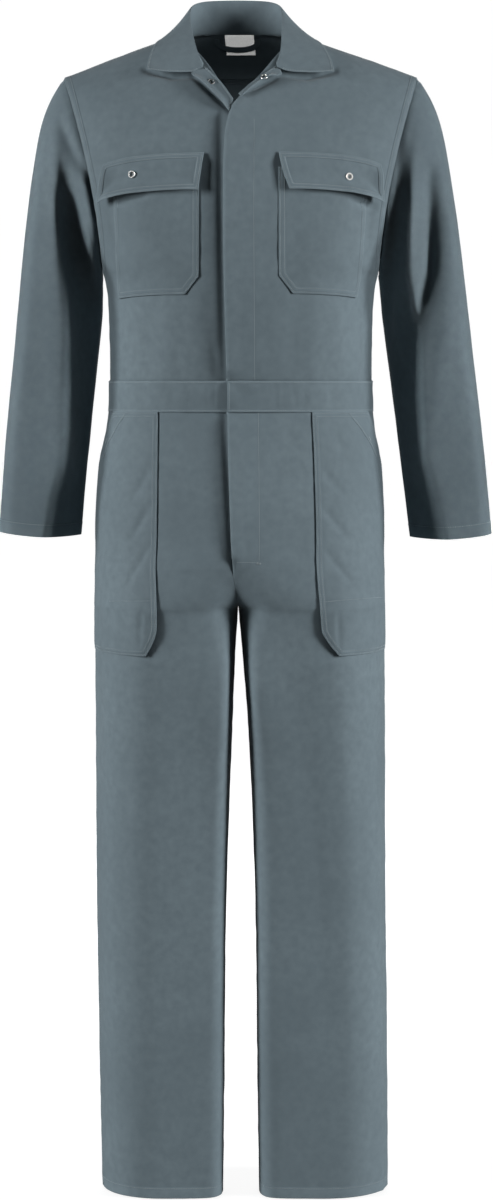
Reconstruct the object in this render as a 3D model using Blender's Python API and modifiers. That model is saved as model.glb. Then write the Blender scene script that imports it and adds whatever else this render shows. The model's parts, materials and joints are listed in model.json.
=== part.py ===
"""A long-sleeved boiler suit, filled out as on a wearer: hollow, open at neck, cuffs and hems.

Metres, +Z up. The front faces -Y and the wearer's left is +X. The origin is on the centre
plane, level with the neck ends of the shoulder seams, where a wearer holds the suit up.

Each piece of cloth is a grid of points on its middle surface, with Solidify for its thickness.
"""

from bisect import bisect_right
from collections import namedtuple
from math import asin, cos, degrees, exp, pi, radians, sin

import bmesh
import bpy
from mathutils import Vector

# Cloth and seams
WALL = 0.0016  # twill with its seam allowances
THIN_WALL = 0.001  # label and loop
SEAM = 0.0007  # between two sewn edges, which leaves their walls 0.3 mm apart where they meet
LAP = 0.0022  # from the middle of one sheet to the middle of the sheet lying on it
RIGHT, LEFT = -1, 1  # the wearer's sides, as the sign of x
FRONT, BACK = 1, -1

# Heights and lengths along the body
WAIST_TOP = -0.476
CROTCH_DOWN = 0.785  # below the origin, as all the trouser's own measures are
HEM_DOWN = 1.589

# Neckline, in the body's own reach: 0 at the shoulder seam, 1 at the armpit, 2 at the waist
NECK_X = 0.080
BACK_NECK_REACH = 0.145
FRONT_NECK_REACH = 0.155
YOKE_REACH = 0.17
NECK_LEAN = 0.0065  # the neck sits this far towards the wearer's right
LEAN_FULL, LEAN_GONE = 0.03, -0.06  # heights at which the lean is whole, and is gone
SHOULDER_Y = 0.006  # the shoulder seams, which part front from back

# Fly: the left front laps over the right one
FLY_STEP = 0.0026
FLY_FLAT, FLY_FADED = 0.030, 0.055  # from the centre: where the step starts to fade, and is gone
LAP_FULL, LAP_GONE = 0.25, 0.16  # reaches between which the step sets in below the neck

REACHES = (
    0, 0.03, 0.06, 0.09, 0.13, 0.17, 0.23, 0.29, 0.36, 0.43, 0.50, 0.58, 0.66, 0.74, 0.82, 0.91, 1,
)
LOWER_REACHES = (1.12, 1.3, 1.52, 1.76, 2)
FRONT_COLUMNS = (0, 0.08, 0.165, 0.26, 0.38, 0.50, 0.62, 0.74, 0.87, 1)
YOKE_NECK = 0.34  # share of the yoke's half width that lies under the neck
YOKE_COLUMNS = (0, 0.085, 0.17, 0.255, YOKE_NECK, 0.5, 0.67, 0.84, 1)
YOKE_SEAM = 0.0007  # half the yoke seam's gap, in reach
SHOULDER_SEAM = 0.0022  # the shoulder seam's gap, in reach
LEG_DOWNS = (
    0.5183, 0.55, 0.59, 0.64, 0.68, 0.70, 0.714, 0.728, 0.745, 0.760, 0.772, 0.780, 0.785,
    0.80, 0.83, 0.88, 0.95, 1.03, 1.12, 1.22, 1.32, 1.42, 1.52, HEM_DOWN,
)

CLOTH_COLOUR = (0.135, 0.172, 0.188, 1)
LABEL_COLOUR = (0.80, 0.80, 0.78, 1)
METAL_COLOUR = (0.62, 0.60, 0.57, 1)

# The body's sections: the middle of front and back, and how far each arc turns to the side
TorsoRow = namedtuple(
    "TorsoRow", "reach front_y front_z front_turn back_y back_z back_turn back_fall"
)
TORSO = (
    TorsoRow(0.00, 0.006, 0.0208, 60, 0.006, 0.0208, 60, 1.2),
    TorsoRow(0.05, -0.014, 0.0170, 60, 0.030, 0.0190, 60, 1.3),
    TorsoRow(0.11, -0.050, -0.0080, 60, 0.058, 0.0150, 60, 1.5),
    TorsoRow(0.145, -0.068, -0.0330, 59, 0.072, 0.0085, 60, 1.8),
    TorsoRow(0.17, -0.083, -0.0540, 58, 0.097, -0.0540, 60, 2.0),
    TorsoRow(0.33, -0.121, -0.1200, 56, 0.117, -0.1150, 58, 2.0),
    TorsoRow(0.50, -0.138, -0.1900, 55, 0.128, -0.1800, 56, 2.0),
    TorsoRow(0.67, -0.142, -0.2550, 65, 0.134, -0.2500, 65, 2.0),
    TorsoRow(0.83, -0.141, -0.3100, 80, 0.133, -0.3080, 80, 2.0),
    TorsoRow(1.00, -0.140, -0.3360, 90, 0.131, -0.3350, 90, 2.0),
    TorsoRow(1.50, -0.131, -0.4060, 90, 0.122, -0.4050, 90, 2.0),
    TorsoRow(2.00, -0.120, WAIST_TOP, 90, 0.116, WAIST_TOP, 90, 2.0),
)
FRONT_FALL = 1.2  # power by which a section falls from its middle to its side
BODY_DEPTH = 0.13  # from the side seam to the middle of front or back, about

SideRow = namedtuple("SideRow", "reach x y z")
SIDE_SEAM = (
    SideRow(1.0, 0.1880, 0.006, -0.330),
    SideRow(1.1, 0.1838, 0.006, -0.344),
    SideRow(1.3, 0.1815, 0.005, -0.372),
    SideRow(1.6, 0.1800, 0.003, -0.415),
    SideRow(2.0, 0.1787, 0.000, WAIST_TOP),
)

# Where each front's free edge runs: its distance from the centre, less than 0 past it
FrontEdgeRow = namedtuple("FrontEdgeRow", "reach right left")
FRONT_EDGE = (
    FrontEdgeRow(0.00, NECK_X, NECK_X),
    FrontEdgeRow(0.05, 0.0800, 0.0800),
    FrontEdgeRow(0.11, 0.0650, 0.0640),
    FrontEdgeRow(0.14, 0.0480, 0.0470),
    FrontEdgeRow(0.215, 0.0243, 0.0124),
    FrontEdgeRow(0.28, 0.0095, -0.0095),
    FrontEdgeRow(0.32, -0.0060, -0.0165),
    FrontEdgeRow(0.37, -0.0170, -0.0200),
    FrontEdgeRow(0.50, -0.0170, -0.0222),
    FrontEdgeRow(1.00, -0.0170, -0.0214),
    FrontEdgeRow(2.00, -0.0170, -0.0174),
)

# Sleeves: rings from the armhole (0) to the cuff (1)
SleeveRow = namedtuple(
    "SleeveRow", "along outer_x outer_z under_x under_z middle_y front_y back_y saddle"
)
SLEEVE = (
    SleeveRow(0.00, 0.2430, -0.058, 0.1880, -0.330, 0.006, -0.075, 0.085, 1.00),
    SleeveRow(0.04, 0.2600, -0.083, 0.1908, -0.335, 0.006, -0.076, 0.085, 0.85),
    SleeveRow(0.10, 0.2745, -0.121, 0.1908, -0.343, 0.006, -0.076, 0.084, 0.55),
    SleeveRow(0.20, 0.2850, -0.180, 0.1910, -0.357, 0.005, -0.075, 0.081, 0.20),
    SleeveRow(0.32, 0.2945, -0.255, 0.1928, -0.384, 0.004, -0.074, 0.077, 0.00),
    SleeveRow(0.45, 0.3035, -0.345, 0.1972, -0.430, 0.002, -0.072, 0.071, 0.00),
    SleeveRow(0.60, 0.3130, -0.448, 0.2050, -0.503, -0.002, -0.068, 0.061, 0.00),
    SleeveRow(0.80, 0.3235, -0.565, 0.2130, -0.597, -0.010, -0.064, 0.046, 0.10),
    SleeveRow(1.00, 0.3312, -0.682, 0.2208, -0.687, -0.015, -0.061, 0.033, 0.35),
)
SADDLE_X, SADDLE_Z = -0.012, -0.011  # front and back of the armhole, from its middle
SLEEVE_RINGS = (0, 0.02, 0.05, 0.09, 0.14, 0.20, 0.27, 0.35, 0.44, 0.54, 0.64, 0.74, 0.84, 0.93, 1)
LEFT_SWING = 0.0135  # the left cuff hangs this much further out
LEFT_DROP = 0.003  # and this much lower
TOP_SEAM_GAP, UNDER_SEAM_GAP = 0.0009, 0.0023  # armhole seam: sheets meet flat, then in a V

# Folds along the sleeves: angle 0 is the outer side, 90 the front and 180 under the arm
Fold = namedtuple("Fold", "side start_angle end_angle start end width depth")
SLEEVE_FOLDS = (
    Fold(RIGHT, 64, 120, 0.03, 0.86, 17, 0.0045),
    Fold(RIGHT, 98, 150, 0.03, 0.94, 24, -0.0105),
    Fold(RIGHT, 100, 84, 0.82, 0.99, 10, -0.0030),
    Fold(RIGHT, -60, -118, 0.04, 0.72, 20, -0.0070),
    Fold(RIGHT, -140, -95, 0.30, 0.80, 16, -0.0055),
    Fold(LEFT, 145, 158, 0.03, 0.55, 15, -0.0065),
    Fold(LEFT, 86, 155, 0.02, 0.60, 14, 0.0045),
    Fold(LEFT, 58, 138, 0.02, 0.90, 17, -0.0090),
    Fold(LEFT, 118, 92, 0.84, 0.99, 10, -0.0026),
    Fold(LEFT, -66, -125, 0.04, 0.68, 20, -0.0070),
    Fold(LEFT, -146, -90, 0.34, 0.84, 16, -0.0050),
)

# Waistband, a little proud of the pieces above and below it
BandRow = namedtuple("BandRow", "down half_width front_y back_y")
WAISTBAND = (
    BandRow(0.4767, 0.1812, -0.1228, 0.1195),
    BandRow(0.4970, 0.1812, -0.1238, 0.1205),
    BandRow(0.5173, 0.1816, -0.1235, 0.1210),
)

# Trousers, both legs alike: a half ellipse for each front and back
TrouserRow = namedtuple("TrouserRow", "down side_x inner_x front_y back_y seam_y")
TROUSERS = (
    TrouserRow(0.518, 0.1806, 0.0004, -0.1215, 0.1185, 0.000),
    TrouserRow(0.560, 0.1860, 0.0004, -0.1290, 0.1270, 0.000),
    TrouserRow(0.600, 0.1905, 0.0004, -0.1350, 0.1350, 0.000),
    TrouserRow(0.660, 0.1945, 0.0004, -0.1390, 0.1430, 0.001),
    TrouserRow(0.720, 0.1968, 0.0006, -0.1390, 0.1450, 0.003),
    TrouserRow(0.785, 0.1983, 0.0013, -0.1340, 0.1410, 0.006),
    TrouserRow(0.830, 0.1988, 0.0045, -0.1270, 0.1350, 0.008),
    TrouserRow(0.900, 0.1990, 0.0095, -0.1150, 0.1250, 0.010),
    TrouserRow(1.000, 0.1986, 0.0145, -0.1010, 0.1130, 0.012),
    TrouserRow(1.100, 0.1985, 0.0183, -0.0910, 0.1045, 0.012),
    TrouserRow(1.220, 0.1983, 0.0218, -0.0810, 0.0980, 0.014),
    TrouserRow(1.350, 0.1980, 0.0230, -0.0730, 0.0950, 0.018),
    TrouserRow(1.480, 0.1973, 0.0243, -0.0660, 0.0910, 0.020),
    TrouserRow(HEM_DOWN, 0.1960, 0.0258, -0.0600, 0.0840, 0.020),
)
RISE_DOWN = 0.660  # where the centre seams start to curve under
RISE_POWER = 1.6
CROTCH_BEND = 0.42  # the power of the inner legs' curve at the crotch, and 1 from ROUND_DOWN on
ROUND_DOWN = 1.10

# Centre edges of the trouser fronts, as for the body
TrouserEdgeRow = namedtuple("TrouserEdgeRow", "down right left step")
TROUSER_EDGE = (
    TrouserEdgeRow(0.518, -0.0170, -0.0168, 1),
    TrouserEdgeRow(0.600, -0.0170, -0.0152, 1),
    TrouserEdgeRow(0.700, -0.0170, -0.0060, 1),
    TrouserEdgeRow(0.714, 0.0005, 0.0005, 1),
    TrouserEdgeRow(0.728, 0.0005, 0.0005, 0),
)
# How far the centre seam leans to the wearer's right, and the outer sides swing to the left
LegLeanRow = namedtuple("LegLeanRow", "down centre_lean outer_swing")
LEG_LEAN = (
    LegLeanRow(0.518, 0.0, 0.0),
    LegLeanRow(0.600, 0.0, -0.0012),
    LegLeanRow(0.700, 0.0060, -0.0016),
    LegLeanRow(0.714, 0.0105, -0.0016),
    LegLeanRow(0.730, 0.0100, -0.0016),
    LegLeanRow(0.750, 0.0080, -0.0016),
    LegLeanRow(0.775, 0.0036, -0.0016),
    LegLeanRow(0.830, 0.0028, -0.0014),
    LegLeanRow(1.000, 0.0, 0.0),
    LegLeanRow(1.220, 0.0, 0.0016),
    LegLeanRow(1.350, 0.0, 0.0030),
    LegLeanRow(1.480, 0.0, 0.0046),
    LegLeanRow(HEM_DOWN, 0.0, 0.0060),
)
LEG_HALF_WIDTH = 0.2  # from the centre plane to a leg's outer side, about

# Collar, from the middle of the back (0) to its front end (1): its roll line, and its outer
# edge as a place on the body, where a reach below 0 is on the back
CollarRow = namedtuple("CollarRow", "station roll_x roll_y roll_z edge_x edge_reach lift bow")
COLLAR = (
    CollarRow(0.00, 0.0000, 0.071, 0.0580, 0.000, -0.152, 0.0040, 0.003),
    CollarRow(0.20, 0.0350, 0.067, 0.0570, 0.050, -0.150, 0.0040, 0.002),
    CollarRow(0.36, 0.0560, 0.052, 0.0520, 0.086, -0.122, 0.0040, 0.000),
    CollarRow(0.50, 0.0625, 0.030, 0.0410, 0.104, -0.030, 0.0040, -0.002),
    CollarRow(0.62, 0.0620, 0.002, 0.0250, 0.109, 0.030, 0.0040, -0.001),
    CollarRow(0.76, 0.0600, -0.028, 0.0030, 0.116, 0.080, 0.0045, 0.001),
    CollarRow(0.89, 0.0560, -0.057, -0.0240, 0.123, 0.122, 0.0050, 0.003),
    CollarRow(1.00, 0.0500, -0.084, -0.0500, 0.127, 0.155, 0.0055, 0.006),
)
COLLAR_ROLL = 0.0022  # radius of the fold between stand and fall
STAND_LIFT = 0.0018  # the stand's foot, off the neckline's edge
FALL_CLEARANCE = 0.0032  # from the body's middle surface to the fall's
NEAR = 0.004  # how far apart points lie that give the body's normal, in metres and in reach
SAME_HEIGHT = 0.001
HALVINGS = 22  # of the whole reach, to find the one at a height

# Lapels: the turned-back ends of the facings, from the collar (0) to where the fronts cross (1)
LapelRow = namedtuple("LapelRow", "station roll_x roll_z outer_x outer_z")
LAPELS = {
    RIGHT: (
        LapelRow(0.0, 0.0465, -0.0540, 0.0630, -0.0670),
        LapelRow(0.5, 0.0243, -0.0770, 0.0430, -0.0855),
        LapelRow(1.0, 0.0105, -0.0975, 0.0143, -0.1140),
    ),
    LEFT: (
        LapelRow(0.0, 0.0450, -0.0530, 0.0505, -0.0670),
        LapelRow(0.5, 0.0190, -0.0715, 0.0240, -0.0780),
        LapelRow(1.0, -0.0020, -0.0905, 0.0015, -0.0940),
    ),
}

LAPEL_SPRING = 0.004  # how far the upper outer corners stand off

# Chest pockets, by height
PatchRow = namedtuple("PatchRow", "down inner_x outer_x")
CHEST_BAGS = {
    RIGHT: (
        PatchRow(0.190, 0.0562, 0.1725),
        PatchRow(0.334, 0.0562, 0.1660),
        PatchRow(0.359, 0.0743, 0.1640),
    ),
    LEFT: (
        PatchRow(0.190, 0.0515, 0.1725),
        PatchRow(0.332, 0.0515, 0.1610),
        PatchRow(0.358, 0.0703, 0.1560),
    ),
}
CHEST_FLAPS = {
    RIGHT: (
        PatchRow(0.1710, 0.0493, 0.1838),
        PatchRow(0.1850, 0.0510, 0.1850),
        PatchRow(0.2205, 0.0556, 0.1870),
    ),
    LEFT: (
        PatchRow(0.1700, 0.0516, 0.1877),
        PatchRow(0.1850, 0.0530, 0.1870),
        PatchRow(0.2195, 0.0640, 0.1860),
    ),
}
CHEST_HALF_WIDTH = 0.200  # the patches' points crowd together towards this, as the chest turns
FLAP_DROOP, BAG_DROOP = 0.013, 0.004  # how much lower their outer ends hang
DROOP_POWER = 2.4
BAG_DOWNS = (0, 0.2, 0.4, 0.54, 0.65, 0.75, 0.86, 1)
FLAP_DOWNS = (0, 0.28, 0.64, 1)
FLAP_LIFT = 0.0034  # the flap's free edge, off the bag
FLAP_EASE = 0.0004  # where the flap starts over the bag
BAG_BULGE = 0.0035
BAG_EASE = 0.0010  # the bag's lower outer corner stands off the turning chest

# Hip patch pockets: their inner edge, and how far round to the side seam they reach
HipRow = namedtuple("HipRow", "down inner_x outer_turn")
HIP_POCKETS = {
    RIGHT: (
        HipRow(0.5188, 0.1110, 70),
        HipRow(0.5500, 0.1110, 79),
        HipRow(0.5900, 0.1110, 90),
        HipRow(0.8133, 0.1110, 90),
        HipRow(0.8450, 0.1262, 90),
    ),
    LEFT: (
        HipRow(0.5188, 0.0963, 70),
        HipRow(0.5500, 0.0983, 79),
        HipRow(0.5900, 0.1000, 90),
        HipRow(0.8133, 0.1111, 90),
        HipRow(0.8450, 0.1336, 90),
    ),
}
HIP_BULGE = 0.003
HIP_GAPE = 0.003  # the slanted opening stands this much further off at the top
GAPE_FULL, GAPE_GONE = 0.15, 0.35  # shares of the pocket's height
HIP_COLUMNS = FRONT_COLUMNS[6:]  # those of the trouser front that always lie under the pocket

# Neck label and hanger loop, from the back neck seam down
LABEL_WIDTH, LABEL_TOP, LABEL_BOTTOM = 0.040, 0.0045, -0.0170
LABEL_SHIFT = 0.0035  # towards the wearer's left
LABEL_LIFT = 0.0035  # off the yoke, whose flat facets cut inside its curve
LOOP_SAG = 0.0015
LOOP_REACH, LOOP_TOP, LOOP_DEPTH, LOOP_WIDTH = 0.029, 0.0045, 0.0135, 0.006

# Snap rings
RING_RADIUS, RING_WIRE = 0.0042, 0.0008
SnapRow = namedtuple("SnapRow", "down across")
FLAP_SNAPS = {RIGHT: SnapRow(0.52, 0.58), LEFT: SnapRow(0.60, 0.56)}
LAPEL_SNAPS = {RIGHT: SnapRow(0.36, 0.50), LEFT: SnapRow(0.30, 0.50)}


def slope(keys, column, i):
    """The slope at row i of a smooth curve through a table's column, level where it turns."""
    spans = [j for j in (i - 1, i) if 0 <= j < len(keys) - 1]
    steps = [(column[j + 1] - column[j]) / (keys[j + 1] - keys[j]) for j in spans]
    if min(abs(step) for step in steps) == 0 or steps[0] * steps[-1] < 0:
        return 0.0
    return len(steps) / sum(1 / step for step in steps)


def read(table, key):
    """The row of a table at any key of its first column, smooth between the rows it lists."""
    keys = [row[0] for row in table]
    key = min(max(key, keys[0]), keys[-1])
    i = min(bisect_right(keys, key) - 1, len(keys) - 2)
    width = keys[i + 1] - keys[i]
    t = (key - keys[i]) / width
    found = []
    for column in zip(*table):
        start = slope(keys, column, i) * width
        end = slope(keys, column, i + 1) * width
        rise = column[i + 1] - column[i]
        curve = start + (3 * rise - 2 * start - end) * t + (start + end - 2 * rise) * t * t
        found.append(column[i] + curve * t)
    return type(table[0])(*found)


def fade(value, full, gone):
    """1 up to full, 0 from gone on, and a smooth step between."""
    t = min(max((value - gone) / (full - gone), 0.0), 1.0)
    return t * t * (3 - 2 * t)


def mixed(a, b, share):
    return a + (b - a) * share


def steps_of(count):
    return [i / count for i in range(count + 1)]


# ---- Making solids ----


def finish(name, colour, roughness, metallic=0.0):
    """A material of its own for one piece."""
    made = bpy.data.materials.new(name + "_finish")
    made.use_nodes = True
    shader = made.node_tree.nodes["Principled BSDF"]
    shader.inputs["Base Color"].default_value = colour
    shader.inputs["Roughness"].default_value = roughness
    shader.inputs["Metallic"].default_value = metallic
    return made


def placed(name, mesh, material):
    """A mesh as a named object under the suit's empty."""
    mesh.materials.append(material)
    mesh.shade_smooth()
    piece = bpy.data.objects.new(name, mesh)
    piece.parent = suit
    parts.objects.link(piece)
    return piece


def cloth(name, rows, ring=False, colour=CLOTH_COLOUR, wall=WALL):
    """A sheet of cloth through rows of points; with ring, each row closes into a loop."""
    sheet = bmesh.new()
    grid = [[sheet.verts.new(point) for point in row] for row in rows]
    for upper, lower in zip(grid, grid[1:]):
        count = len(upper)
        for i in range(count if ring else count - 1):
            j = (i + 1) % count
            sheet.faces.new((upper[i], lower[i], lower[j], upper[j]))
    bmesh.ops.recalc_face_normals(sheet, faces=sheet.faces)
    mesh = bpy.data.meshes.new(name)
    sheet.to_mesh(mesh)
    sheet.free()
    piece = placed(name, mesh, finish(name, colour, 0.85))
    thickness = piece.modifiers.new("Cloth thickness", "SOLIDIFY")
    thickness.thickness = wall
    thickness.offset = 0
    thickness.use_even_offset = True
    thickness.use_quality_normals = True
    return piece


def moved_out(side, rows, lift):
    """Rows of points moved off a front sheet of this side by lift(down, across) metres.

    Rows run down and points run from the centre outwards, both shares counted from 0 to 1.
    """
    last_row, last = len(rows) - 1, len(rows[0]) - 1
    moved = []
    for i, row in enumerate(rows):
        line = []
        for j, point in enumerate(row):
            across = row[min(j + 1, last)] - row[max(j - 1, 0)]
            down = rows[min(i + 1, last_row)][j] - rows[max(i - 1, 0)][j]
            normal = down.cross(across).normalized() * side
            line.append(point + normal * lift(i / last_row, j / last))
        moved.append(line)
    return moved


def spot(side, rows, down, across):
    """A point on a grid at these shares of it, and the outward normal there."""
    i = min(int(down * (len(rows) - 1)), len(rows) - 2)
    j = min(int(across * (len(rows[0]) - 1)), len(rows[0]) - 2)
    u = down * (len(rows) - 1) - i
    v = across * (len(rows[0]) - 1) - j
    upper = mixed(rows[i][j], rows[i][j + 1], v)
    lower = mixed(rows[i + 1][j], rows[i + 1][j + 1], v)
    outwards = mixed(rows[i][j + 1] - rows[i][j], rows[i + 1][j + 1] - rows[i + 1][j], u)
    return mixed(upper, lower, u), (lower - upper).cross(outwards).normalized() * side


# ---- Body ----


def sleeve_loop(along, angle):
    """A point of a sleeve's ring on the left side; the ring at 0 is the armhole seam."""
    row = read(SLEEVE, along)
    outer = Vector((row.outer_x, row.middle_y, row.outer_z))
    under = Vector((row.under_x, row.middle_y, row.under_z))
    saddle = Vector((
        SADDLE_X * row.saddle,
        (row.front_y + row.back_y) / 2 - row.middle_y,
        SADDLE_Z * row.saddle,
    ))
    depth = Vector((0, (row.front_y - row.back_y) / 2, 0))
    middle = (outer + under) / 2
    return middle + (outer - under) / 2 * cos(angle) + depth * sin(angle) + saddle * sin(angle) ** 2


def side_point(face, reach):
    """The left side of a section: on the armhole down to the armpit, then on the side seam."""
    if reach <= 1:
        return sleeve_loop(0, face * pi * reach)
    row = read(SIDE_SEAM, reach)
    return Vector((row.x, row.y, row.z))


def section(face, reach):
    """A section's side point, the y and z of its middle, its turn in radians and its fall."""
    row = read(TORSO, reach)
    side = side_point(face, reach)
    if face == FRONT:
        return side, row.front_y, row.front_z, radians(row.front_turn), FRONT_FALL
    return side, row.back_y, row.back_z, radians(row.back_turn), row.back_fall


def leaned(point):
    """The body's neck leans to the wearer's right, and nothing below the collarbones does."""
    return point - Vector((NECK_LEAN * fade(point.z, LEAN_FULL, LEAN_GONE), 0, 0))


def angle_of(face, reach, x):
    """Where on a section a distance from the centre plane falls."""
    side, _, _, turn, _ = section(face, reach)
    return asin(min(x / side.x, 1.0) * sin(turn))


def body_point(face, side, reach, angle):
    """A point of the body before the fly's step and the neck's lean are added."""
    edge, middle_y, middle_z, turn, fall = section(face, reach)
    share = sin(angle) / sin(turn)
    bend = (cos(angle) - cos(turn)) / (1 - cos(turn))
    return Vector((
        side * edge.x * share,
        mixed(edge.y, middle_y, bend),
        mixed(middle_z, edge.z, abs(share) ** fall),
    ))


def torso_point(face, side, reach, angle):
    """A point of a front or of the back, the left front stepped out where it laps."""
    point = body_point(face, side, reach, angle)
    if face == FRONT and side == LEFT:
        lapped = fade(reach, LAP_FULL, LAP_GONE)
        point.y -= FLY_STEP * lapped * fade(point.x, FLY_FLAT, FLY_FADED)
    return leaned(point)


def torso_at(face, side, x, z):
    """The point of a front or of the back at a distance from the centre and a height."""
    upper, lower = 0.0, 2.0
    point = None
    for _ in range(HALVINGS):
        reach = (upper + lower) / 2
        point = torso_point(face, side, reach, angle_of(face, reach, x))
        if point.z > z:
            upper = reach
        else:
            lower = reach
    return point


def seam_angle(depth):
    """Half a seam's gap at the end of an arc this deep, as an angle."""
    return SEAM / 2 / abs(depth)


def front_rows(side):
    rows = []
    for reach in REACHES + LOWER_REACHES:
        edge = read(FRONT_EDGE, reach)
        start = angle_of(FRONT, reach, edge.left if side == LEFT else edge.right)
        turn = section(FRONT, reach)[3]
        end = turn - seam_angle(BODY_DEPTH)
        rows.append([
            torso_point(FRONT, side, reach, mixed(start, end, share)) for share in FRONT_COLUMNS
        ])
    return rows


def yoke_point(across, down):
    """A point of the yoke: across from -1 to 1, down from its neck and shoulder edges."""
    side, share = (LEFT, across) if across > 0 else (RIGHT, -across)
    if share < YOKE_NECK:
        turn = share / YOKE_NECK * pi / 2
        top_reach = max(BACK_NECK_REACH * cos(turn), SHOULDER_SEAM)
        top_x = NECK_X * sin(turn)
    else:
        top_reach = SHOULDER_SEAM
        shoulder_x = side_point(BACK, top_reach).x
        top_x = mixed(NECK_X, shoulder_x, (share - YOKE_NECK) / (1 - YOKE_NECK))
    reach = mixed(top_reach, YOKE_REACH - YOKE_SEAM, down)
    top_share = top_x / side_point(BACK, top_reach).x
    turn = section(BACK, reach)[3]
    bottom_share = sin(share * turn) / sin(turn)
    angle = asin(min(mixed(top_share, bottom_share, down), 1.0) * sin(turn))
    return torso_point(BACK, side, reach, angle)


def both_ways(columns):
    """Shares from 0 to 1 as shares from -1 to 1."""
    return [-share for share in reversed(columns[1:])] + list(columns)


def yoke_rows():
    downs = [reach / YOKE_REACH for reach in REACHES if reach <= YOKE_REACH]
    return [[yoke_point(across, down) for across in both_ways(YOKE_COLUMNS)] for down in downs]


def back_rows():
    rows = []
    reaches = [reach for reach in REACHES + LOWER_REACHES if reach > YOKE_REACH]
    for reach in [YOKE_REACH + YOKE_SEAM] + reaches:
        turn = section(BACK, reach)[3]
        end = turn - seam_angle(BODY_DEPTH)
        rows.append([
            torso_point(BACK, LEFT if share > 0 else RIGHT, reach, abs(share) * end)
            for share in both_ways(steps_of(8))
        ])
    return rows


# ---- Sleeves ----


def fold_depth(side, along, angle):
    """How far the sleeve's folds move a point in (less than 0) or out."""
    total = 0.0
    for fold in SLEEVE_FOLDS:
        t = (along - fold.start) / (fold.end - fold.start)
        if fold.side == side and 0 < t < 1:
            middle = mixed(fold.start_angle, fold.end_angle, t)
            off = (angle - middle + 180) % 360 - 180
            total += fold.depth * sin(pi * t) ** 0.7 * exp(-((off / fold.width) ** 2))
    return total


def sleeve_point(side, along, angle):
    """A point of a sleeve, angle in radians from its outer side towards the front."""
    point = sleeve_loop(along, angle)
    middle = (sleeve_loop(along, angle) + sleeve_loop(along, angle + pi)) / 2
    point += (point - middle).normalized() * fold_depth(side, along, degrees(angle))
    if along == 0:
        under = ((1 - cos(angle)) / 2) ** 2
        point.x += mixed(TOP_SEAM_GAP, UNDER_SEAM_GAP, under)
    if side == LEFT:
        point += Vector((LEFT_SWING, 0, -LEFT_DROP)) * along
    point.x *= side
    return point


def sleeve_rows(side):
    angles = [pi * reach for reach in REACHES] + [-pi * reach for reach in reversed(REACHES[1:-1])]
    return [[sleeve_point(side, along, angle) for angle in angles] for along in SLEEVE_RINGS]


# ---- Collar and lapels ----


def body_surface(side, x, reach):
    """A point of the body at x from the centre; a reach below 0 is on the back."""
    face = BACK if reach < 0 else FRONT
    return torso_point(face, side, abs(reach), angle_of(face, abs(reach), x))


def lifted(side, x, reach, lift):
    """A point off the body's surface by lift metres, along its normal."""
    across = body_surface(side, x + NEAR, reach) - body_surface(side, max(x - NEAR, 0), reach)
    along = body_surface(side, x, reach + NEAR) - body_surface(side, x, reach - NEAR)
    normal = along.cross(across).normalized() * side
    return body_surface(side, x, reach) + normal * lift


def neck_spot(side, station):
    """Where the neck seam runs, from the middle of the back (0) by the shoulder to the front (1)."""
    if station < 0.5:
        turn = station * pi
        return NECK_X * sin(turn), -BACK_NECK_REACH * cos(turn)
    reach = FRONT_NECK_REACH * (station - 0.5) * 2
    edge = read(FRONT_EDGE, reach)
    return (edge.left if side == LEFT else edge.right), reach


def clear_of_body(side, point):
    """A point of the collar's fall, pushed off the front or back where it would lie inside."""
    x = abs(point.x + NECK_LEAN * fade(point.z, LEAN_FULL, LEAN_GONE))
    face = FRONT if point.y < SHOULDER_Y else BACK
    body = torso_at(face, side, x, point.z)
    if abs(body.z - point.z) < SAME_HEIGHT and face == FRONT:
        point.y = min(point.y, body.y - FALL_CLEARANCE)
    elif abs(body.z - point.z) < SAME_HEIGHT:
        point.y = max(point.y, body.y + FALL_CLEARANCE)
    return point


def collar_section(side, station):
    """The collar cut across: up the stand, over the roll and down the fall."""
    row = read(COLLAR, station)
    foot = lifted(side, *neck_spot(side, station), STAND_LIFT)
    roll = leaned(Vector((side * row.roll_x, row.roll_y, row.roll_z)))
    edge = lifted(side, row.edge_x, row.edge_reach, row.lift)
    up = (roll - foot).normalized()
    out = edge - roll
    out = (out - up * out.dot(up)).normalized()
    middle = roll - up * COLLAR_ROLL + out * COLLAR_ROLL
    points = [mixed(foot, middle - out * COLLAR_ROLL, share) for share in (0, 0.5)]
    for turn in (0, 60, 120, 180):
        angle = radians(turn)
        points.append(middle + (up * sin(angle) - out * cos(angle)) * COLLAR_ROLL)
    start = points[-1]
    for share in (0.22, 0.48, 0.75, 1):
        point = mixed(start, edge, share) + out * row.bow * 4 * share * (1 - share)
        points.append(clear_of_body(side, point))
    return points


def collar_rows():
    stations = both_ways((0, 0.12, 0.24, 0.36, 0.47, 0.58, 0.69, 0.80, 0.90, 1))
    return [collar_section(LEFT if s > 0 else RIGHT, abs(s)) for s in stations]


def lapel_rows(side):
    """A lapel on its front: rows run down the roll line, points out from it."""
    rows = []
    for station in steps_of(6):
        row = read(LAPELS[side], station)
        rows.append([
            torso_at(
                FRONT,
                side,
                mixed(row.roll_x, row.outer_x, share),
                mixed(row.roll_z, row.outer_z, share),
            )
            for share in steps_of(3)
        ])
    return moved_out(side, rows, lambda down, across: LAP + LAPEL_SPRING * across * (1 - down))


# ---- Waistband and trousers ----


def band_rows(side, start_x):
    """A front of the waistband, from its edge (less than 0 past the centre) to the side seam."""
    rows = []
    for row in WAISTBAND:
        start = asin(start_x / row.half_width)
        line = []
        for share in FRONT_COLUMNS:
            angle = mixed(start, pi / 2 - seam_angle(row.front_y), share)
            x = row.half_width * sin(angle)
            step = FLY_STEP * fade(x, FLY_FLAT, FLY_FADED) if side == LEFT else 0
            line.append(Vector((side * x, row.front_y * cos(angle) - step, -row.down)))
        rows.append(line)
    return rows


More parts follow.
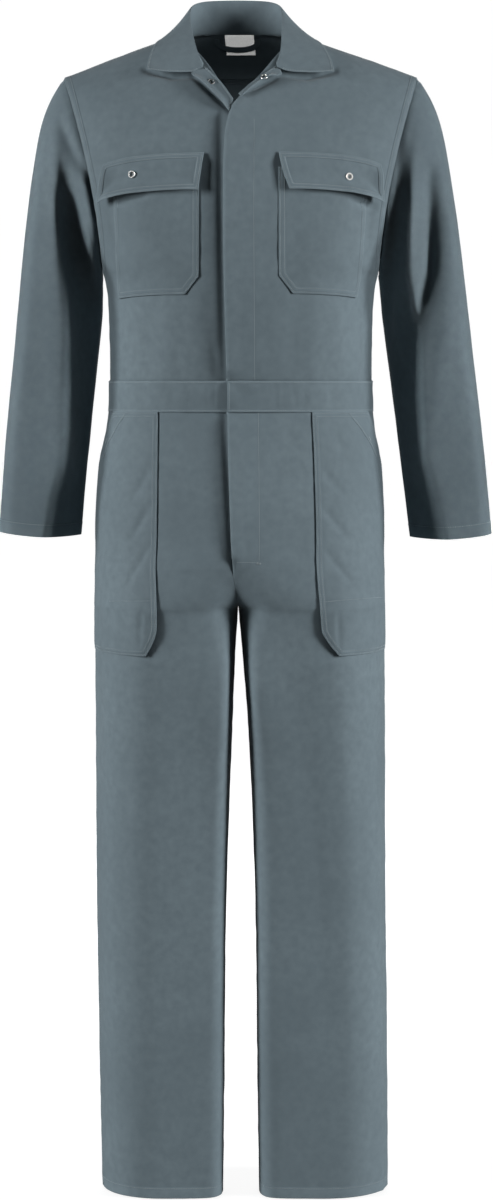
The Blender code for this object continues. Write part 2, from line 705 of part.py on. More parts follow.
def back_band_rows():
    rows = []
    for row in WAISTBAND:
        end = pi / 2 - seam_angle(row.back_y)
        rows.append([
            Vector((row.half_width * sin(share * end), row.back_y * cos(share * end), -row.down))
            for share in both_ways(steps_of(8))
        ])
    return rows


def rise_share(down):
    """How far round a trouser section turns: 0 at the hips, 1 for a half turn at the crotch."""
    return min(max((down - RISE_DOWN) / (CROTCH_DOWN - RISE_DOWN), 0.0), 1.0) ** RISE_POWER


def inner_bend(down):
    """The power that squares off a leg's inner half near the crotch; 1 leaves it an ellipse."""
    return mixed(1, CROTCH_BEND, fade(down, CROTCH_DOWN, ROUND_DOWN))


def trouser_section(face, down):
    """The middle x, half width, seam y and depth of a trouser section."""
    row = read(TROUSERS, down)
    half_width = (row.side_x - row.inner_x) / (1 + rise_share(down))
    depth = (row.front_y if face == FRONT else row.back_y) - row.seam_y
    return row.side_x - half_width, half_width, row.seam_y, depth


def trouser_angle(face, down, x):
    middle_x, half_width, _, _ = trouser_section(face, down)
    return asin(max((x - middle_x) / half_width, -1.0))


def trouser_point(face, side, down, angle):
    """A point of a leg's front or back, angle 90 degrees at the side seam."""
    middle_x, half_width, seam_y, depth = trouser_section(face, down)
    x = middle_x + half_width * sin(angle)
    step = 0.0
    if face == FRONT and side == LEFT:
        step = FLY_STEP * fade(x, FLY_FLAT, FLY_FADED) * read(TROUSER_EDGE, down).step
    outwards = min(abs(x) / LEG_HALF_WIDTH, 1)
    row = read(LEG_LEAN, down)
    shift = row.outer_swing * outwards - row.centre_lean * (1 - outwards) ** 2
    bend = cos(angle) ** (inner_bend(down) if angle < 0 else 1)
    return Vector((side * x + shift, seam_y + depth * bend - step, -down))


def trouser_span(face, side, down):
    """The angles of a trouser section's two ends."""
    edge_x = read(TROUSERS, down).inner_x
    if face == FRONT and down < TROUSER_EDGE[-1].down:
        edge = read(TROUSER_EDGE, down)
        edge_x = edge.left if side == LEFT else edge.right
    seam = seam_angle(trouser_section(face, down)[3])
    inner_seam = seam ** (1 / inner_bend(down))
    return max(trouser_angle(face, down, edge_x), inner_seam - pi / 2), pi / 2 - seam


def trouser_rows(face, side):
    rows = []
    for down in LEG_DOWNS:
        start, end = trouser_span(face, side, down)
        rows.append([
            trouser_point(face, side, down, mixed(start, end, share)) for share in FRONT_COLUMNS
        ])
    return rows


# ---- Pockets ----


def chest_patch(side, table, downs, columns, droop):
    """A patch's points on a front, its outer end hanging lower by droop."""
    top, bottom = table[0].down, table[-1].down
    rows = []
    for share in downs:
        down = mixed(top, bottom, share)
        row = read(table, down)
        inner = asin(row.inner_x / CHEST_HALF_WIDTH)
        outer = asin(row.outer_x / CHEST_HALF_WIDTH)
        line = []
        for across in steps_of(columns):
            x = CHEST_HALF_WIDTH * sin(mixed(inner, outer, across))
            line.append(torso_at(FRONT, side, x, -down - droop * across ** DROOP_POWER))
        rows.append(line)
    return rows


def bag_rows(side):
    rows = chest_patch(side, CHEST_BAGS[side], BAG_DOWNS, 7, BAG_DROOP)
    return moved_out(
        side,
        rows,
        lambda down, across: (
            LAP + BAG_BULGE * sin(pi * down) ** 1.5 * sin(pi * across) + BAG_EASE * across * down
        ),
    )


def flap_rows(side):
    rows = chest_patch(side, CHEST_FLAPS[side], FLAP_DOWNS, 8, FLAP_DROOP)
    over_bag = LAP + FLAP_EASE
    return moved_out(
        side,
        rows,
        lambda down, across: LAP + over_bag * fade(down, FLAP_DOWNS[1], 0) + FLAP_LIFT * down ** 2,
    )


def hip_rows(side):
    """A hip pocket on the columns of its trouser front, from its inner edge to the side seam."""
    table = HIP_POCKETS[side]
    downs = [table[0].down] + [down for down in LEG_DOWNS if table[0].down < down < table[-1].down]
    rows = []
    for down in sorted(downs + [row.down for row in table[-2:]]):
        row = read(table, down)
        start, end = trouser_span(FRONT, side, down)
        inner = (trouser_angle(FRONT, down, row.inner_x) - start) / (end - start)
        outer = min((radians(row.outer_turn) - start) / (end - start), 1)
        stretch = (outer - HIP_COLUMNS[0]) / (1 - HIP_COLUMNS[0])
        shares = [inner, (inner + HIP_COLUMNS[0]) / 2]
        shares += [HIP_COLUMNS[0] + (column - HIP_COLUMNS[0]) * stretch for column in HIP_COLUMNS]
        rows.append([trouser_point(FRONT, side, down, mixed(start, end, s)) for s in shares])
    return moved_out(
        side,
        rows,
        lambda down, across: (
            LAP
            + HIP_BULGE * sin(pi * down) ** 0.7 * sin(pi * across)
            + HIP_GAPE * across ** 2 * fade(down, GAPE_FULL, GAPE_GONE)
        ),
    )


# ---- Small things ----


def ring(name, point, normal):
    """A snap's ring lying on the cloth at a point."""
    centre = point + normal * (WALL / 2 + SEAM + RING_WIRE)
    bpy.ops.mesh.primitive_torus_add(
        major_radius=RING_RADIUS,
        minor_radius=RING_WIRE,
        major_segments=16,
        minor_segments=6,
    )
    made = bpy.context.object
    mesh = made.data
    bpy.data.objects.remove(made)
    piece = placed(name, mesh, finish(name, METAL_COLOUR, 0.35, 1.0))
    piece.location = centre
    piece.rotation_mode = "QUATERNION"
    piece.rotation_quaternion = normal.to_track_quat("Z", "Y")


def label_rows():
    rows = []
    for down in steps_of(2):
        z = mixed(LABEL_TOP, LABEL_BOTTOM, down)
        line = []
        for across in steps_of(4):
            x = LABEL_WIDTH * (across - 0.5) + LABEL_SHIFT
            line.append(torso_at(BACK, LEFT if x > 0 else RIGHT, abs(x), z))
        rows.append(line)
    return moved_out(LEFT, rows, lambda down, across: LABEL_LIFT)


def loop_rows():
    """The hanger loop: a strap that hangs in a U from the neck seam, in front of the label."""
    rows = []
    for edge in (-0.5, 0.5):
        line = []
        for share in steps_of(12):
            turn = pi * share
            x = -(LOOP_REACH + LOOP_WIDTH * edge) * cos(turn)
            z = LOOP_TOP - (LOOP_DEPTH + LOOP_WIDTH * edge) * sin(turn) ** 0.6
            line.append(torso_at(BACK, LEFT if x > 0 else RIGHT, abs(x), z))
        rows.append(line)
    return moved_out(LEFT, rows, lambda down, across: LABEL_LIFT + LAP + LOOP_SAG * sin(pi * across))


def build():
    for side, word in ((RIGHT, "right"), (LEFT, "left")):
        cloth(f"front_{word}", front_rows(side))
        cloth(f"sleeve_{word}", sleeve_rows(side), ring=True)
        lapel = lapel_rows(side)
        cloth(f"lapel_{word}", lapel)
        edge = TROUSER_EDGE[0]
        cloth(f"waistband_{word}", band_rows(side, edge.left if side == LEFT else edge.right))
        cloth(f"trouser_front_{word}", trouser_rows(FRONT, side))
        cloth(f"trouser_back_{word}", trouser_rows(BACK, side))
        cloth(f"chest_pocket_{word}", bag_rows(side))
        flap = flap_rows(side)
        cloth(f"pocket_flap_{word}", flap)
        cloth(f"hip_pocket_{word}", hip_rows(side))
        ring(f"flap_snap_{word}", *spot(side, flap, *FLAP_SNAPS[side]))
        ring(f"lapel_snap_{word}", *spot(side, lapel, *LAPEL_SNAPS[side]))
    cloth("back_yoke", yoke_rows())
    cloth("back", back_rows())
    cloth("collar", collar_rows())
    cloth("waistband_back", back_band_rows())
    cloth("neck_label", label_rows(), colour=LABEL_COLOUR, wall=THIN_WALL)
    cloth("hanger_loop", loop_rows(), wall=THIN_WALL)


for old in list(bpy.data.objects):
    bpy.data.objects.remove(old)

parts = bpy.data.collections.new("boiler_suit")
bpy.context.scene.collection.children.link(parts)
suit = bpy.data.objects.new("suit_origin", None)
parts.objects.link(suit)

build()
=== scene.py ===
# %% [markdown]
# # A boiler suit, filled out and hollow
#
# A boiler suit is a shirt and a pair of trousers sewn together at a waistband. This lesson dresses
# the suit's plain rigid form in cloth. The form comes first, as the frame. It could be draped by a
# cloth simulation, but with no wearer inside, the suit would fall flat. So each wall of the frame is
# replaced by a thin sheet of cloth on the same surface, and then come folds, felled seams, hems,
# stitching, snaps, label, light and camera.

import json
import math

import bmesh
import bpy
import numpy as np
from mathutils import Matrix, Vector, noise
from mathutils.bvhtree import BVHTree
from mathutils.kdtree import KDTree

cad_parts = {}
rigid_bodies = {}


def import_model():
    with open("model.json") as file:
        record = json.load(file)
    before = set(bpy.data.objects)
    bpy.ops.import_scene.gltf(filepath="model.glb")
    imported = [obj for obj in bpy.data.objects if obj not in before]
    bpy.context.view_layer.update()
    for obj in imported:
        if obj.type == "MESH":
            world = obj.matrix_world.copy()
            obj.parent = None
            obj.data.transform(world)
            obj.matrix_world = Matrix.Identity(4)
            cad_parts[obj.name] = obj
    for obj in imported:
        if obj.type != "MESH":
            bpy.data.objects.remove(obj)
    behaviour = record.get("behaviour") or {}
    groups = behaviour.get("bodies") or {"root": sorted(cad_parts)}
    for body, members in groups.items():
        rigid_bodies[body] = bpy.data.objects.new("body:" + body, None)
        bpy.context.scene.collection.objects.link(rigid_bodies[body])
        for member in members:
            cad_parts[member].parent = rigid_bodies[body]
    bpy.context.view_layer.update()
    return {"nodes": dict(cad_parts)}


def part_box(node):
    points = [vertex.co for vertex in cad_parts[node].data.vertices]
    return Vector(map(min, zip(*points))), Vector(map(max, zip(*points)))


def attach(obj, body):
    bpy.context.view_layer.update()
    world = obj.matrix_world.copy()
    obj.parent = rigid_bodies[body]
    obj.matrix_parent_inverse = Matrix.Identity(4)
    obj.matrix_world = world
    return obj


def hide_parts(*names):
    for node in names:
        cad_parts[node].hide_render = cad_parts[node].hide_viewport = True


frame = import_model()
MILLIMETRE = 0.001
print("solids in the frame:", len(frame["nodes"]))

# %% [markdown]
# ## Cloth colours and weave
#
# Work cloth is a twill: each thread passes over two and under one, a step along in each row, which
# draws fine slanting ribs. A picture of cloth would need a flat map of every panel, so a wave texture
# makes the ribs instead. It runs along x + z - |y|, a slant on every side of the suit. Slow noise
# makes the shade uneven, as dyed cloth is, and a point value lightens folded edges: partly wear,
# where pressing has polished them, and partly a painted highlight, the light line a folded edge
# catches.

# %% Material helpers
def new_material(name, roughness, **sockets):
    """A material with its own shader, whose plain values sit on the shader's sockets."""
    made = bpy.data.materials.new(name)
    made.use_nodes = True
    shader = made.node_tree.nodes["Principled BSDF"]
    shader.inputs["Roughness"].default_value = roughness
    for socket, value in sockets.items():
        shader.inputs[socket.replace("_", " ")].default_value = value
    return made, made.node_tree, shader


def node(tree, kind, inputs=(), **settings):
    """Adds a node. Its inputs are numbers, colours or other nodes' outputs, by socket name."""
    made = tree.nodes.new("ShaderNode" + kind)
    for setting, value in settings.items():
        setattr(made, setting, value)
    for socket, value in dict(inputs).items():
        if isinstance(value, bpy.types.NodeSocket):
            tree.links.new(value, made.inputs[socket])
        else:
            made.inputs[socket].default_value = value
    return made


def shaded(tree, shader, value, stops):
    """Colours a shader by a value, through stops of (position, colour)."""
    ramp = node(tree, "ValToRGB", {"Fac": value})
    for element, (position, colour) in zip(ramp.color_ramp.elements, stops):
        element.position, element.color = position, colour
    tree.links.new(ramp.outputs["Color"], shader.inputs["Base Color"])


def bumped(tree, shader, height, strength, distance):
    """Raises a shader's surface by a value, without moving the mesh."""
    bump = node(tree, "Bump", {"Height": height, "Strength": strength, "Distance": distance})
    tree.links.new(bump.outputs["Normal"], shader.inputs["Normal"])


print("material helpers ready")

# %% Twill
RIB_SCALE = 620.0
RIB_DEPTH = 0.3 * MILLIMETRE
RIB_SHARE = 0.15
SLUB_SCALE = 90.0
DYE_SCALE = 7.0
CLOTH_SHADES = ((0.084, 0.113, 0.130, 1), (0.131, 0.172, 0.194, 1))
# how much paler folded edges are painted: partly wear, partly a painted highlight where the fold
# catches light
WEAR_AND_HIGHLIGHT_GAIN = 0.5


def twill(name, dark, light):
    """Twill cloth between two shades, with ribs, slow unevenness, and folded edges painted paler for
    wear and as a highlight.
    """
    made, tree, shader = new_material(
        name, 0.82, Specular_IOR_Level=0.22, Sheen_Weight=0.08, Sheen_Roughness=0.45
    )
    place = node(tree, "TexCoord").outputs["Object"]
    parts = node(tree, "SeparateXYZ", {0: place}).outputs
    across = node(tree, "Math", {0: parts["Y"]}, operation="ABSOLUTE").outputs[0]
    up = node(tree, "Math", {0: parts["Z"], 1: across}, operation="SUBTRACT").outputs[0]
    slant = node(tree, "CombineXYZ", {"X": parts["X"], "Y": up}).outputs[0]
    ribs = node(
        tree, "TexWave",
        {"Vector": slant, "Scale": RIB_SCALE, "Distortion": 1.2, "Detail Scale": 0.4},
        bands_direction="DIAGONAL",
    ).outputs["Fac"]
    slubs = node(tree, "TexNoise", {"Vector": place, "Scale": SLUB_SCALE, "Detail": 6.0}).outputs["Fac"]
    dye = node(tree, "TexNoise", {"Vector": place, "Scale": DYE_SCALE, "Detail": 3.0}).outputs["Fac"]
    yarn = node(tree, "Math", {0: slubs, 1: dye}, operation="MULTIPLY").outputs[0]
    shade = node(tree, "Mix", {0: RIB_SHARE, 2: yarn, 3: ribs}, data_type="FLOAT").outputs[0]
    # folded edges are painted paler here: partly wear, partly a painted highlight
    worn = node(tree, "Attribute", attribute_name="worn").outputs["Fac"]
    lit = node(tree, "Math", {0: worn, 1: WEAR_AND_HIGHLIGHT_GAIN, 2: shade}, operation="MULTIPLY_ADD").outputs[0]
    shaded(tree, shader, lit, ((0.08, dark), (0.62, light)))
    bumped(tree, shader, shade, 0.35, RIB_DEPTH)
    return made


cloth = twill("twill", *CLOTH_SHADES)
print("cloth:", cloth.name, "with ribs", RIB_DEPTH / MILLIMETRE, "mm deep")

# %% [markdown]
# ## Thread, label tape and snap metal
#
# Sewing thread is a little paler than the cloth. The label is a plain woven tape. The snaps are
# nickel-plated rings, dulled by washing. Each finish could have its own set of nodes, but all four
# are a shade with a fine grain, so one function with other numbers makes them all.

# %% Small materials
THREAD_SHADES = ((0.21, 0.255, 0.275, 1), (0.33, 0.385, 0.405, 1))
TAPE_SHADES = ((0.66, 0.67, 0.66, 1), (0.88, 0.88, 0.86, 1))
METAL_SHADES = ((0.42, 0.41, 0.39, 1), (0.80, 0.79, 0.77, 1))
SOCKET_SHADES = ((0.10, 0.10, 0.10, 1), (0.22, 0.22, 0.21, 1))
THREAD_DEPTH = 0.1 * MILLIMETRE
METAL_DEPTH = 0.05 * MILLIMETRE


def speckled(name, roughness, scale, shades, depth, **sockets):
    """A finish that varies between two shades with fine noise, and is as uneven in height."""
    made, tree, shader = new_material(name, roughness, **sockets)
    place = node(tree, "TexCoord").outputs["Object"]
    grain = node(tree, "TexNoise", {"Vector": place, "Scale": scale, "Detail": 4.0}).outputs["Fac"]
    shaded(tree, shader, grain, ((0.3, shades[0]), (0.7, shades[1])))
    bumped(tree, shader, grain, 0.3, depth)
    return made


thread = speckled("thread", 0.6, 900.0, THREAD_SHADES, THREAD_DEPTH, Sheen_Weight=0.2)
tape = speckled("label_tape", 0.7, 1500.0, TAPE_SHADES, THREAD_DEPTH, Sheen_Weight=0.1)
metal = speckled("snap_metal", 0.3, 700.0, METAL_SHADES, METAL_DEPTH, Metallic=1.0)
socket_metal = speckled("snap_socket", 0.45, 700.0, SOCKET_SHADES, METAL_DEPTH, Metallic=1.0)
print("small materials:", thread.name, tape.name, metal.name, socket_metal.name)

# %% [markdown]
# ## Panels from the frame
#
# Every wall of the frame is a closed shell. Cloth needs only one side of it. The sheets could be
# drawn again from sizes, but then they wouldn't lie exactly where the walls do. So each wall is split
# where its faces turn sharply at the rim. The larger side is kept, because the outside of a bent
# wall is always larger. The label and the loop hang inside the back, so their front is kept.

# %% One side of a wall
RIM_TURN = math.radians(60)
SAME_PLACE = 1e-6
FACING_FRONT = ("neck_label", "hanger_loop")


def outside_of(name):
    """One side of one wall of the frame, as a mesh of its own."""
    wall = bmesh.new()
    wall.from_mesh(frame["nodes"][name].data)
    bmesh.ops.remove_doubles(wall, verts=wall.verts, dist=SAME_PLACE)
    bmesh.ops.join_triangles(
        wall, faces=wall.faces, angle_face_threshold=math.pi, angle_shape_threshold=math.pi
    )
    unseen, sides = set(wall.faces), []
    # each side is found by going from face to face, never round the rim
    while unseen:
        side, reach = [], [unseen.pop()]
        while reach:
            face = reach.pop()
            side.append(face)
            for edge in face.edges:
                if edge.calc_face_angle(math.pi) < RIM_TURN:
                    for other in edge.link_faces:
                        if other in unseen:
                            unseen.discard(other)
                            reach.append(other)
        sides.append(side)
    if name in FACING_FRONT:
        kept = max(sides, key=lambda side: sum(-face.normal.y * face.calc_area() for face in side))
    else:
        kept = max(sides, key=lambda side: sum(face.calc_area() for face in side))
    lost = set(wall.faces) - set(kept)
    bmesh.ops.delete(wall, geom=[face for face in wall.faces if face in lost], context="FACES")
    return wall


print("the back's outside has", len(outside_of("back").faces), "faces")

# %% [markdown]
# ## The collar's sheet
#
# The collar is one sheet: it stands up from the neck seam, rolls over and falls outside. Its two
# sides fold back on themselves, so no angle tells them apart, and it can't be had as the others are.
# Its sheet is laid out from cuts across the collar, from its right front end round the neck to its
# left front end. Each cut runs from the neck seam up the stand, over the roll and down the fall.

# %% Cuts across the collar
# (x, y, z) in millimetres
COLLAR_CUTS = (
    ((-50.5, -75, -44.6), (-50.8, -78, -46.6), (-51, -81, -48.4), (-51.4, -83.4, -49.6),
     (-52.9, -84.4, -50.4), (-54.5, -84.6, -51.5), (-65, -84, -56.5), (-86, -80, -56.8),
     (-109, -77, -55.6), (-126.8, -75.5, -52.4)),
    ((-59.7, -57.3, -25.3), (-59.4, -57.6, -25.5), (-59.1, -57.9, -25.6), (-58.6, -59.7, -26.7),
     (-60.2, -60.8, -27.7), (-62.3, -60.1, -27.7), (-77.7, -59.9, -31.1), (-94.9, -59, -34.3),
     (-111.3, -57.1, -36.7), (-125.3, -54.5, -38.1)),
    ((-74.7, -39.3, -12.7), (-69.9, -38.2, -9.3), (-65.2, -37.1, -5.9), (-64.3, -36.3, -4.1),
     (-65.6, -35.4, -2.6), (-67.8, -35.2, -2.9), (-80.2, -35.4, -6.7), (-94.4, -36, -11.7),
     (-108.7, -36.9, -17.5), (-121.5, -38.2, -23.4)),
    ((-84.4, -18.5, -3.1), (-76.5, -16, 5), (-68.7, -13.6, 13.1), (-68.2, -12.7, 15),
     (-69.8, -11.9, 16.3), (-71.9, -11.9, 15.6), (-81.8, -13.1, 9.8), (-93.5, -14.4, 2.9),
     (-105.7, -15.8, -4.2), (-117, -17.1, -10.8)),
    ((-85.2, -3.4, 0.4), (-77.5, 3.6, 14.7), (-69.7, 10.7, 29.1), (-69.8, 11.9, 30.9),
     (-71.7, 12.9, 31.4), (-73.5, 12.6, 30.2), (-81.2, 9.6, 22.1), (-91, 6.4, 12.6),
     (-101.9, 3.5, 3.1), (-112.6, 1.1, -5.6)),
    ((-85, 12.3, 2.1), (-77.2, 23.4, 22.1), (-69.3, 34.5, 42.1), (-69.5, 36.1, 43.6),
     (-71.2, 37.5, 43.5), (-72.6, 37.3, 41.8), (-79.2, 34.6, 32.1), (-87.7, 31.9, 20.6),
     (-97.4, 29.8, 8.5), (-107, 28.5, -2.7)),
    ((-78, 34.7, 4.2), (-70.5, 43, 27.1), (-63.1, 51.3, 50), (-63.1, 52.8, 51.6),
     (-64.2, 54.7, 51.2), (-65.3, 55.1, 49.4), (-71.1, 56.1, 38.7), (-78, 57.4, 26.2),
     (-85.1, 58.7, 13.1), (-91.7, 59.9, 1.1)),
    ((-60.6, 55.3, 7.9), (-54.4, 59.9, 31.1), (-48.2, 64.4, 54.3), (-47.9, 65.8, 55.9),
     (-48.3, 68, 55.6), (-49, 68.7, 53.6), (-52.8, 71.2, 42.2), (-57, 73.5, 28.7),
     (-61.3, 74.9, 14.8), (-65.2, 75.4, 2.1)),
    ((-35.3, 67.5, 10.7), (-31.9, 68.2, 33), (-28.5, 68.9, 55.3), (-28.1, 70.1, 57.2),
     (-27.8, 72.2, 57), (-28, 73.3, 55.1), (-29.3, 76.6, 42.6), (-31.1, 79.2, 28),
     (-33.1, 80.6, 12.8), (-35.2, 80.6, -1.2)),
    ((-5.6, 73.4, 9.7), (-6, 72.2, 32.7), (-6.5, 71.1, 55.8), (-6.4, 72.1, 57.8),
     (-6.1, 74.3, 57.9), (-6, 75.5, 56), (-5.4, 79, 43.3), (-4.9, 81.7, 28.2),
     (-4.6, 82.8, 12.5), (-4.5, 82.2, -2.2)),
    ((24.1, 67.5, 10.7), (19.9, 68.2, 33), (15.6, 68.9, 55.3), (15.3, 70.1, 57.2),
     (15.2, 72.3, 57.1), (15.6, 73.3, 55.2), (17.9, 76.6, 42.7), (20.6, 79.3, 28.1),
     (23.5, 80.6, 12.9), (26.1, 80.6, -1.1)),
    ((49.8, 55.3, 8), (42.6, 59.9, 31.1), (35.3, 64.4, 54.3), (35, 65.8, 56),
     (35.5, 67.9, 55.7), (36.3, 68.7, 53.8), (40.7, 71.2, 42.3), (45.9, 73.4, 28.8),
     (51, 74.8, 15), (55.5, 75.3, 2.2)),
    ((67.8, 34.7, 4.2), (59, 43, 27.1), (50.2, 51.3, 50.1), (50.2, 52.8, 51.6),
     (51.3, 54.7, 51.4), (52.5, 55.1, 49.5), (59.1, 56.1, 38.9), (66.9, 57.4, 26.3),
     (75.1, 58.7, 13.2), (82.6, 59.9, 1.1)),
    ((75.3, 12.3, 2.1), (65.9, 23.4, 22.1), (56.4, 34.5, 42.1), (56.5, 36.1, 43.7),
     (58.2, 37.5, 43.6), (59.7, 37.4, 42.1), (67.3, 34.6, 32.2), (77, 31.9, 20.6),
     (87.8, 29.8, 8.5), (98.6, 28.5, -2.7)),
    ((75.8, -3.4, 0.4), (66.3, 3.7, 14.8), (56.9, 10.7, 29.1), (56.8, 12, 31),
     (58.6, 13, 31.6), (60.5, 12.8, 30.5), (69.4, 9.7, 22.3), (80.6, 6.5, 12.7),
     (92.8, 3.5, 3.1), (104.8, 1.1, -5.6)),
    ((75.6, -18.4, -3.1), (66.2, -16, 5.1), (56.9, -13.5, 13.2), (56.2, -12.7, 15.1),
     (57.6, -11.8, 16.5), (59.8, -11.8, 16), (70.8, -12.9, 10.1), (84, -14.3, 3.1),
     (97.6, -15.7, -4.1), (110.3, -17, -10.7)),
    ((67.3, -39.3, -12.5), (61.9, -38.2, -9.2), (56.5, -37.1, -5.8), (55.5, -36.3, -4),
     (56.7, -35.2, -2.5), (58.9, -35.1, -2.7), (72.4, -35.2, -6.5), (87.8, -35.8, -11.5),
     (103.4, -36.8, -17.3), (117.5, -38.1, -23.3)),
    ((54.9, -57.3, -25.2), (54.8, -57.5, -25.3), (54.6, -57.7, -25.4), (54.6, -59.5, -26.6),
     (56.5, -60.3, -27.5), (58.4, -59.2, -27.2), (74.6, -58.9, -30.4), (92.5, -58, -33.7),
     (109.5, -56.5, -36.3), (123.9, -54.4, -38)),
    ((48.6, -75, -44.4), (49, -78, -46.4), (49.3, -81, -48.2), (50, -83.4, -49.5),
     (51.6, -84.4, -50.3), (53, -84.6, -51.3), (63, -83.6, -56), (85, -79.4, -56.8),
     (108.5, -76.6, -57), (126.4, -75.5, -55.2)),
)


def collar_sheet():
    """The collar as a grid of faces, with the fall's outside up."""
    sheet = bmesh.new()
    cuts = [[sheet.verts.new(Vector(point) * MILLIMETRE) for point in cut] for cut in COLLAR_CUTS]
    for cut, after in zip(cuts, cuts[1:]):
        for k in range(len(cut) - 1):
            sheet.faces.new((cut[k], after[k], after[k + 1], cut[k + 1]))
    return sheet


print("collar cuts:", len(COLLAR_CUTS), "with", len(COLLAR_CUTS[0]), "points each")

# %% [markdown]
# ## Smooth skins
#
# The frame's faces are as large as a hand, and folds need far smaller ones. Splitting the faces flat
# would keep their hard edges, so Catmull-Clark subdivision turns them into one smooth sheet, finer on
# the panels that show most. Corners of the outline are creased first, so that they stay sharp.

# %% Skins
CORNER_TURN = math.radians(24)
FINE_LEVELS = 3
PLAIN_LEVELS = 2
FINE_PANELS = ("front_", "trouser_front", "waistband", "chest_pocket", "pocket_flap", "hip_pocket")


def crease_corners(skin):
    """Marks the corners of a skin's outline, so that subdividing keeps them sharp."""
    crease = skin.verts.layers.float.new("crease_vert")
    for vert in skin.verts:
        rim = [edge.other_vert(vert).co for edge in vert.link_edges if edge.is_boundary]
        if len(rim) == 2:
            turn = (vert.co - rim[0]).angle(rim[1] - vert.co, 0.0)
            vert[crease] = 1.0 if turn > CORNER_TURN else 0.0


def smooth_skin(name, levels):
    """A panel's sheet, subdivided, as a mesh."""
    skin = collar_sheet() if name == "collar" else outside_of(name)
    crease_corners(skin)
    coarse = bpy.data.meshes.new(name + "_coarse")
    skin.to_mesh(coarse)
    skin.free()
    holder = bpy.data.objects.new(name + "_coarse", coarse)
    bpy.context.scene.collection.objects.link(holder)
    smoothing = holder.modifiers.new("smooth", "SUBSURF")
    smoothing.levels = levels
    smoothing.boundary_smooth = "PRESERVE_CORNERS"
    graph = bpy.context.evaluated_depsgraph_get()
    made = bpy.data.meshes.new_from_object(holder.evaluated_get(graph))
    bpy.data.objects.remove(holder)
    bpy.data.meshes.remove(coarse)
    return made


skins = {
    name: smooth_skin(name, FINE_LEVELS if name.startswith(FINE_PANELS) else PLAIN_LEVELS)
    for name in frame["nodes"] if "snap" not in name
}
for name, skin in skins.items():
    print(f"{name}: {len(skin.vertices)} points, {len(skin.polygons)} faces")

# %% [markdown]
# ## Panels and their outlines
#
# Seams and hems follow the edges of the cloth. They could be drawn edge by edge, but there are over
# a hundred. So a panel keeps its skin open for editing, a search tree to lay things on it, and its
# outline as closed loops. At each point of an outline it knows the way out of the cloth sideways, the
# way up off the cloth, and which panel it is sewn to there.

# %% Panel
class Panel:
    """One cloth panel: its skin, a search tree on it, and its outline."""

    def __init__(self, name, skin):
        self.name = name
        self.mesh = bmesh.new()
        self.mesh.from_mesh(skin)
        self.sewn_to = {}
        self.refresh()

    def refresh(self):
        """Measures the skin again after its points have moved."""
        self.mesh.normal_update()
        self.mesh.verts.index_update()
        self.mesh.verts.ensure_lookup_table()
        self.tree = BVHTree.FromBMesh(self.mesh)
        self.loops = [self.measured(loop) for loop in self.outline()]

    def outline(self):
        """The closed loops of the skin's edge, each a list of its points in order."""
        left = {vert for edge in self.mesh.edges if edge.is_boundary for vert in edge.verts}
        loops = []
        while left:
            start = min(left, key=lambda vert: vert.index)
            loop = [start]
            left.discard(start)
            while True:
                ahead = [
                    edge.other_vert(loop[-1])
                    for edge in loop[-1].link_edges
                    if edge.is_boundary and edge.other_vert(loop[-1]) in left
                ]
                if not ahead:
                    break
                loop.append(ahead[0])
                left.discard(ahead[0])
            loops.append(loop)
        return loops

    def measured(self, loop):
        """Each point of a loop with its place, its directions out and up, and its neighbour."""
        rows = []
        for index, vert in enumerate(loop):
            before, after = loop[index - 1].co, loop[(index + 1) % len(loop)].co
            along = (after - before).normalized()
            # square to the edge and flat on the cloth, then turned away from the cloth's middle
            out = along.cross(vert.normal).normalized()
            middle = sum((face.calc_center_median() for face in vert.link_faces), Vector())
            if out.dot(middle / len(vert.link_faces) - vert.co) > 0:
                out.negate()
            rows.append({
                "vert": vert, "at": vert.co.copy(), "out": out, "up": vert.normal.copy(),
                "sewn_to": self.sewn_to.get(vert.index),
            })
        return rows


panels = {name: Panel(name, skin) for name, skin in skins.items()}
print("panels:", len(panels), "with", sum(len(panel.loops) for panel in panels.values()), "outlines")

# %% [markdown]
# ## Which panel lies on top
#
# Where two panels are sewn, one laps over the other. A list of every pair would be long, so each
# panel has a rank: of two, the higher one is on top. Each outline point then finds the panel that it
# is sewn to, if any is close, and a short gap in what it finds takes the neighbour beside it.

# %% Neighbours
RANK = {
    "waistband_left": 9, "waistband_right": 8, "waistband_back": 7,
    "back_yoke": 6, "front_left": 5, "front_right": 4, "back": 3,
    "sleeve_left": 1, "sleeve_right": 1,
    "trouser_front_left": 5, "trouser_front_right": 4, "trouser_back_left": 3, "trouser_back_right": 2,
}
SEWN_WITHIN = 3.4 * MILLIMETRE
GAP_POINTS = 7


def find_neighbour(name, at):
    """The ranked panel that a panel is sewn to at a point, or None at a free edge."""
    found, nearest = None, SEWN_WITHIN
    for other in RANK:
        if other != name:
            away = panels[other].tree.find_nearest(at, nearest)[3]
            if away is not None and away < nearest:
                found, nearest = other, away
    return found


def fill_gaps(loop, found):
    """Gives short gaps in a list of neighbours the neighbour beside them."""
    # steps back and forth in turn, so every other one is behind and the rest are ahead
    steps = [step for away in range(1, GAP_POINTS) for step in (-away, away)]
    for k in range(len(loop)):
        if found[k] is None:
            beside = [found[(k + step) % len(loop)] for step in steps]
            if any(beside[0::2]) and any(beside[1::2]):
                yield k, next(other for other in beside if other)


for name in RANK:
    panel = panels[name]
    for loop in panel.loops:
        found = [find_neighbour(name, row["at"]) for row in loop]
        for k, other in list(fill_gaps(loop, found)):
            found[k] = other
        for row, other in zip(loop, found):
            panel.sewn_to[row["vert"].index] = other
    panel.refresh()
    print(name, "is sewn to", sorted({str(other) for other in panel.sewn_to.values()}))
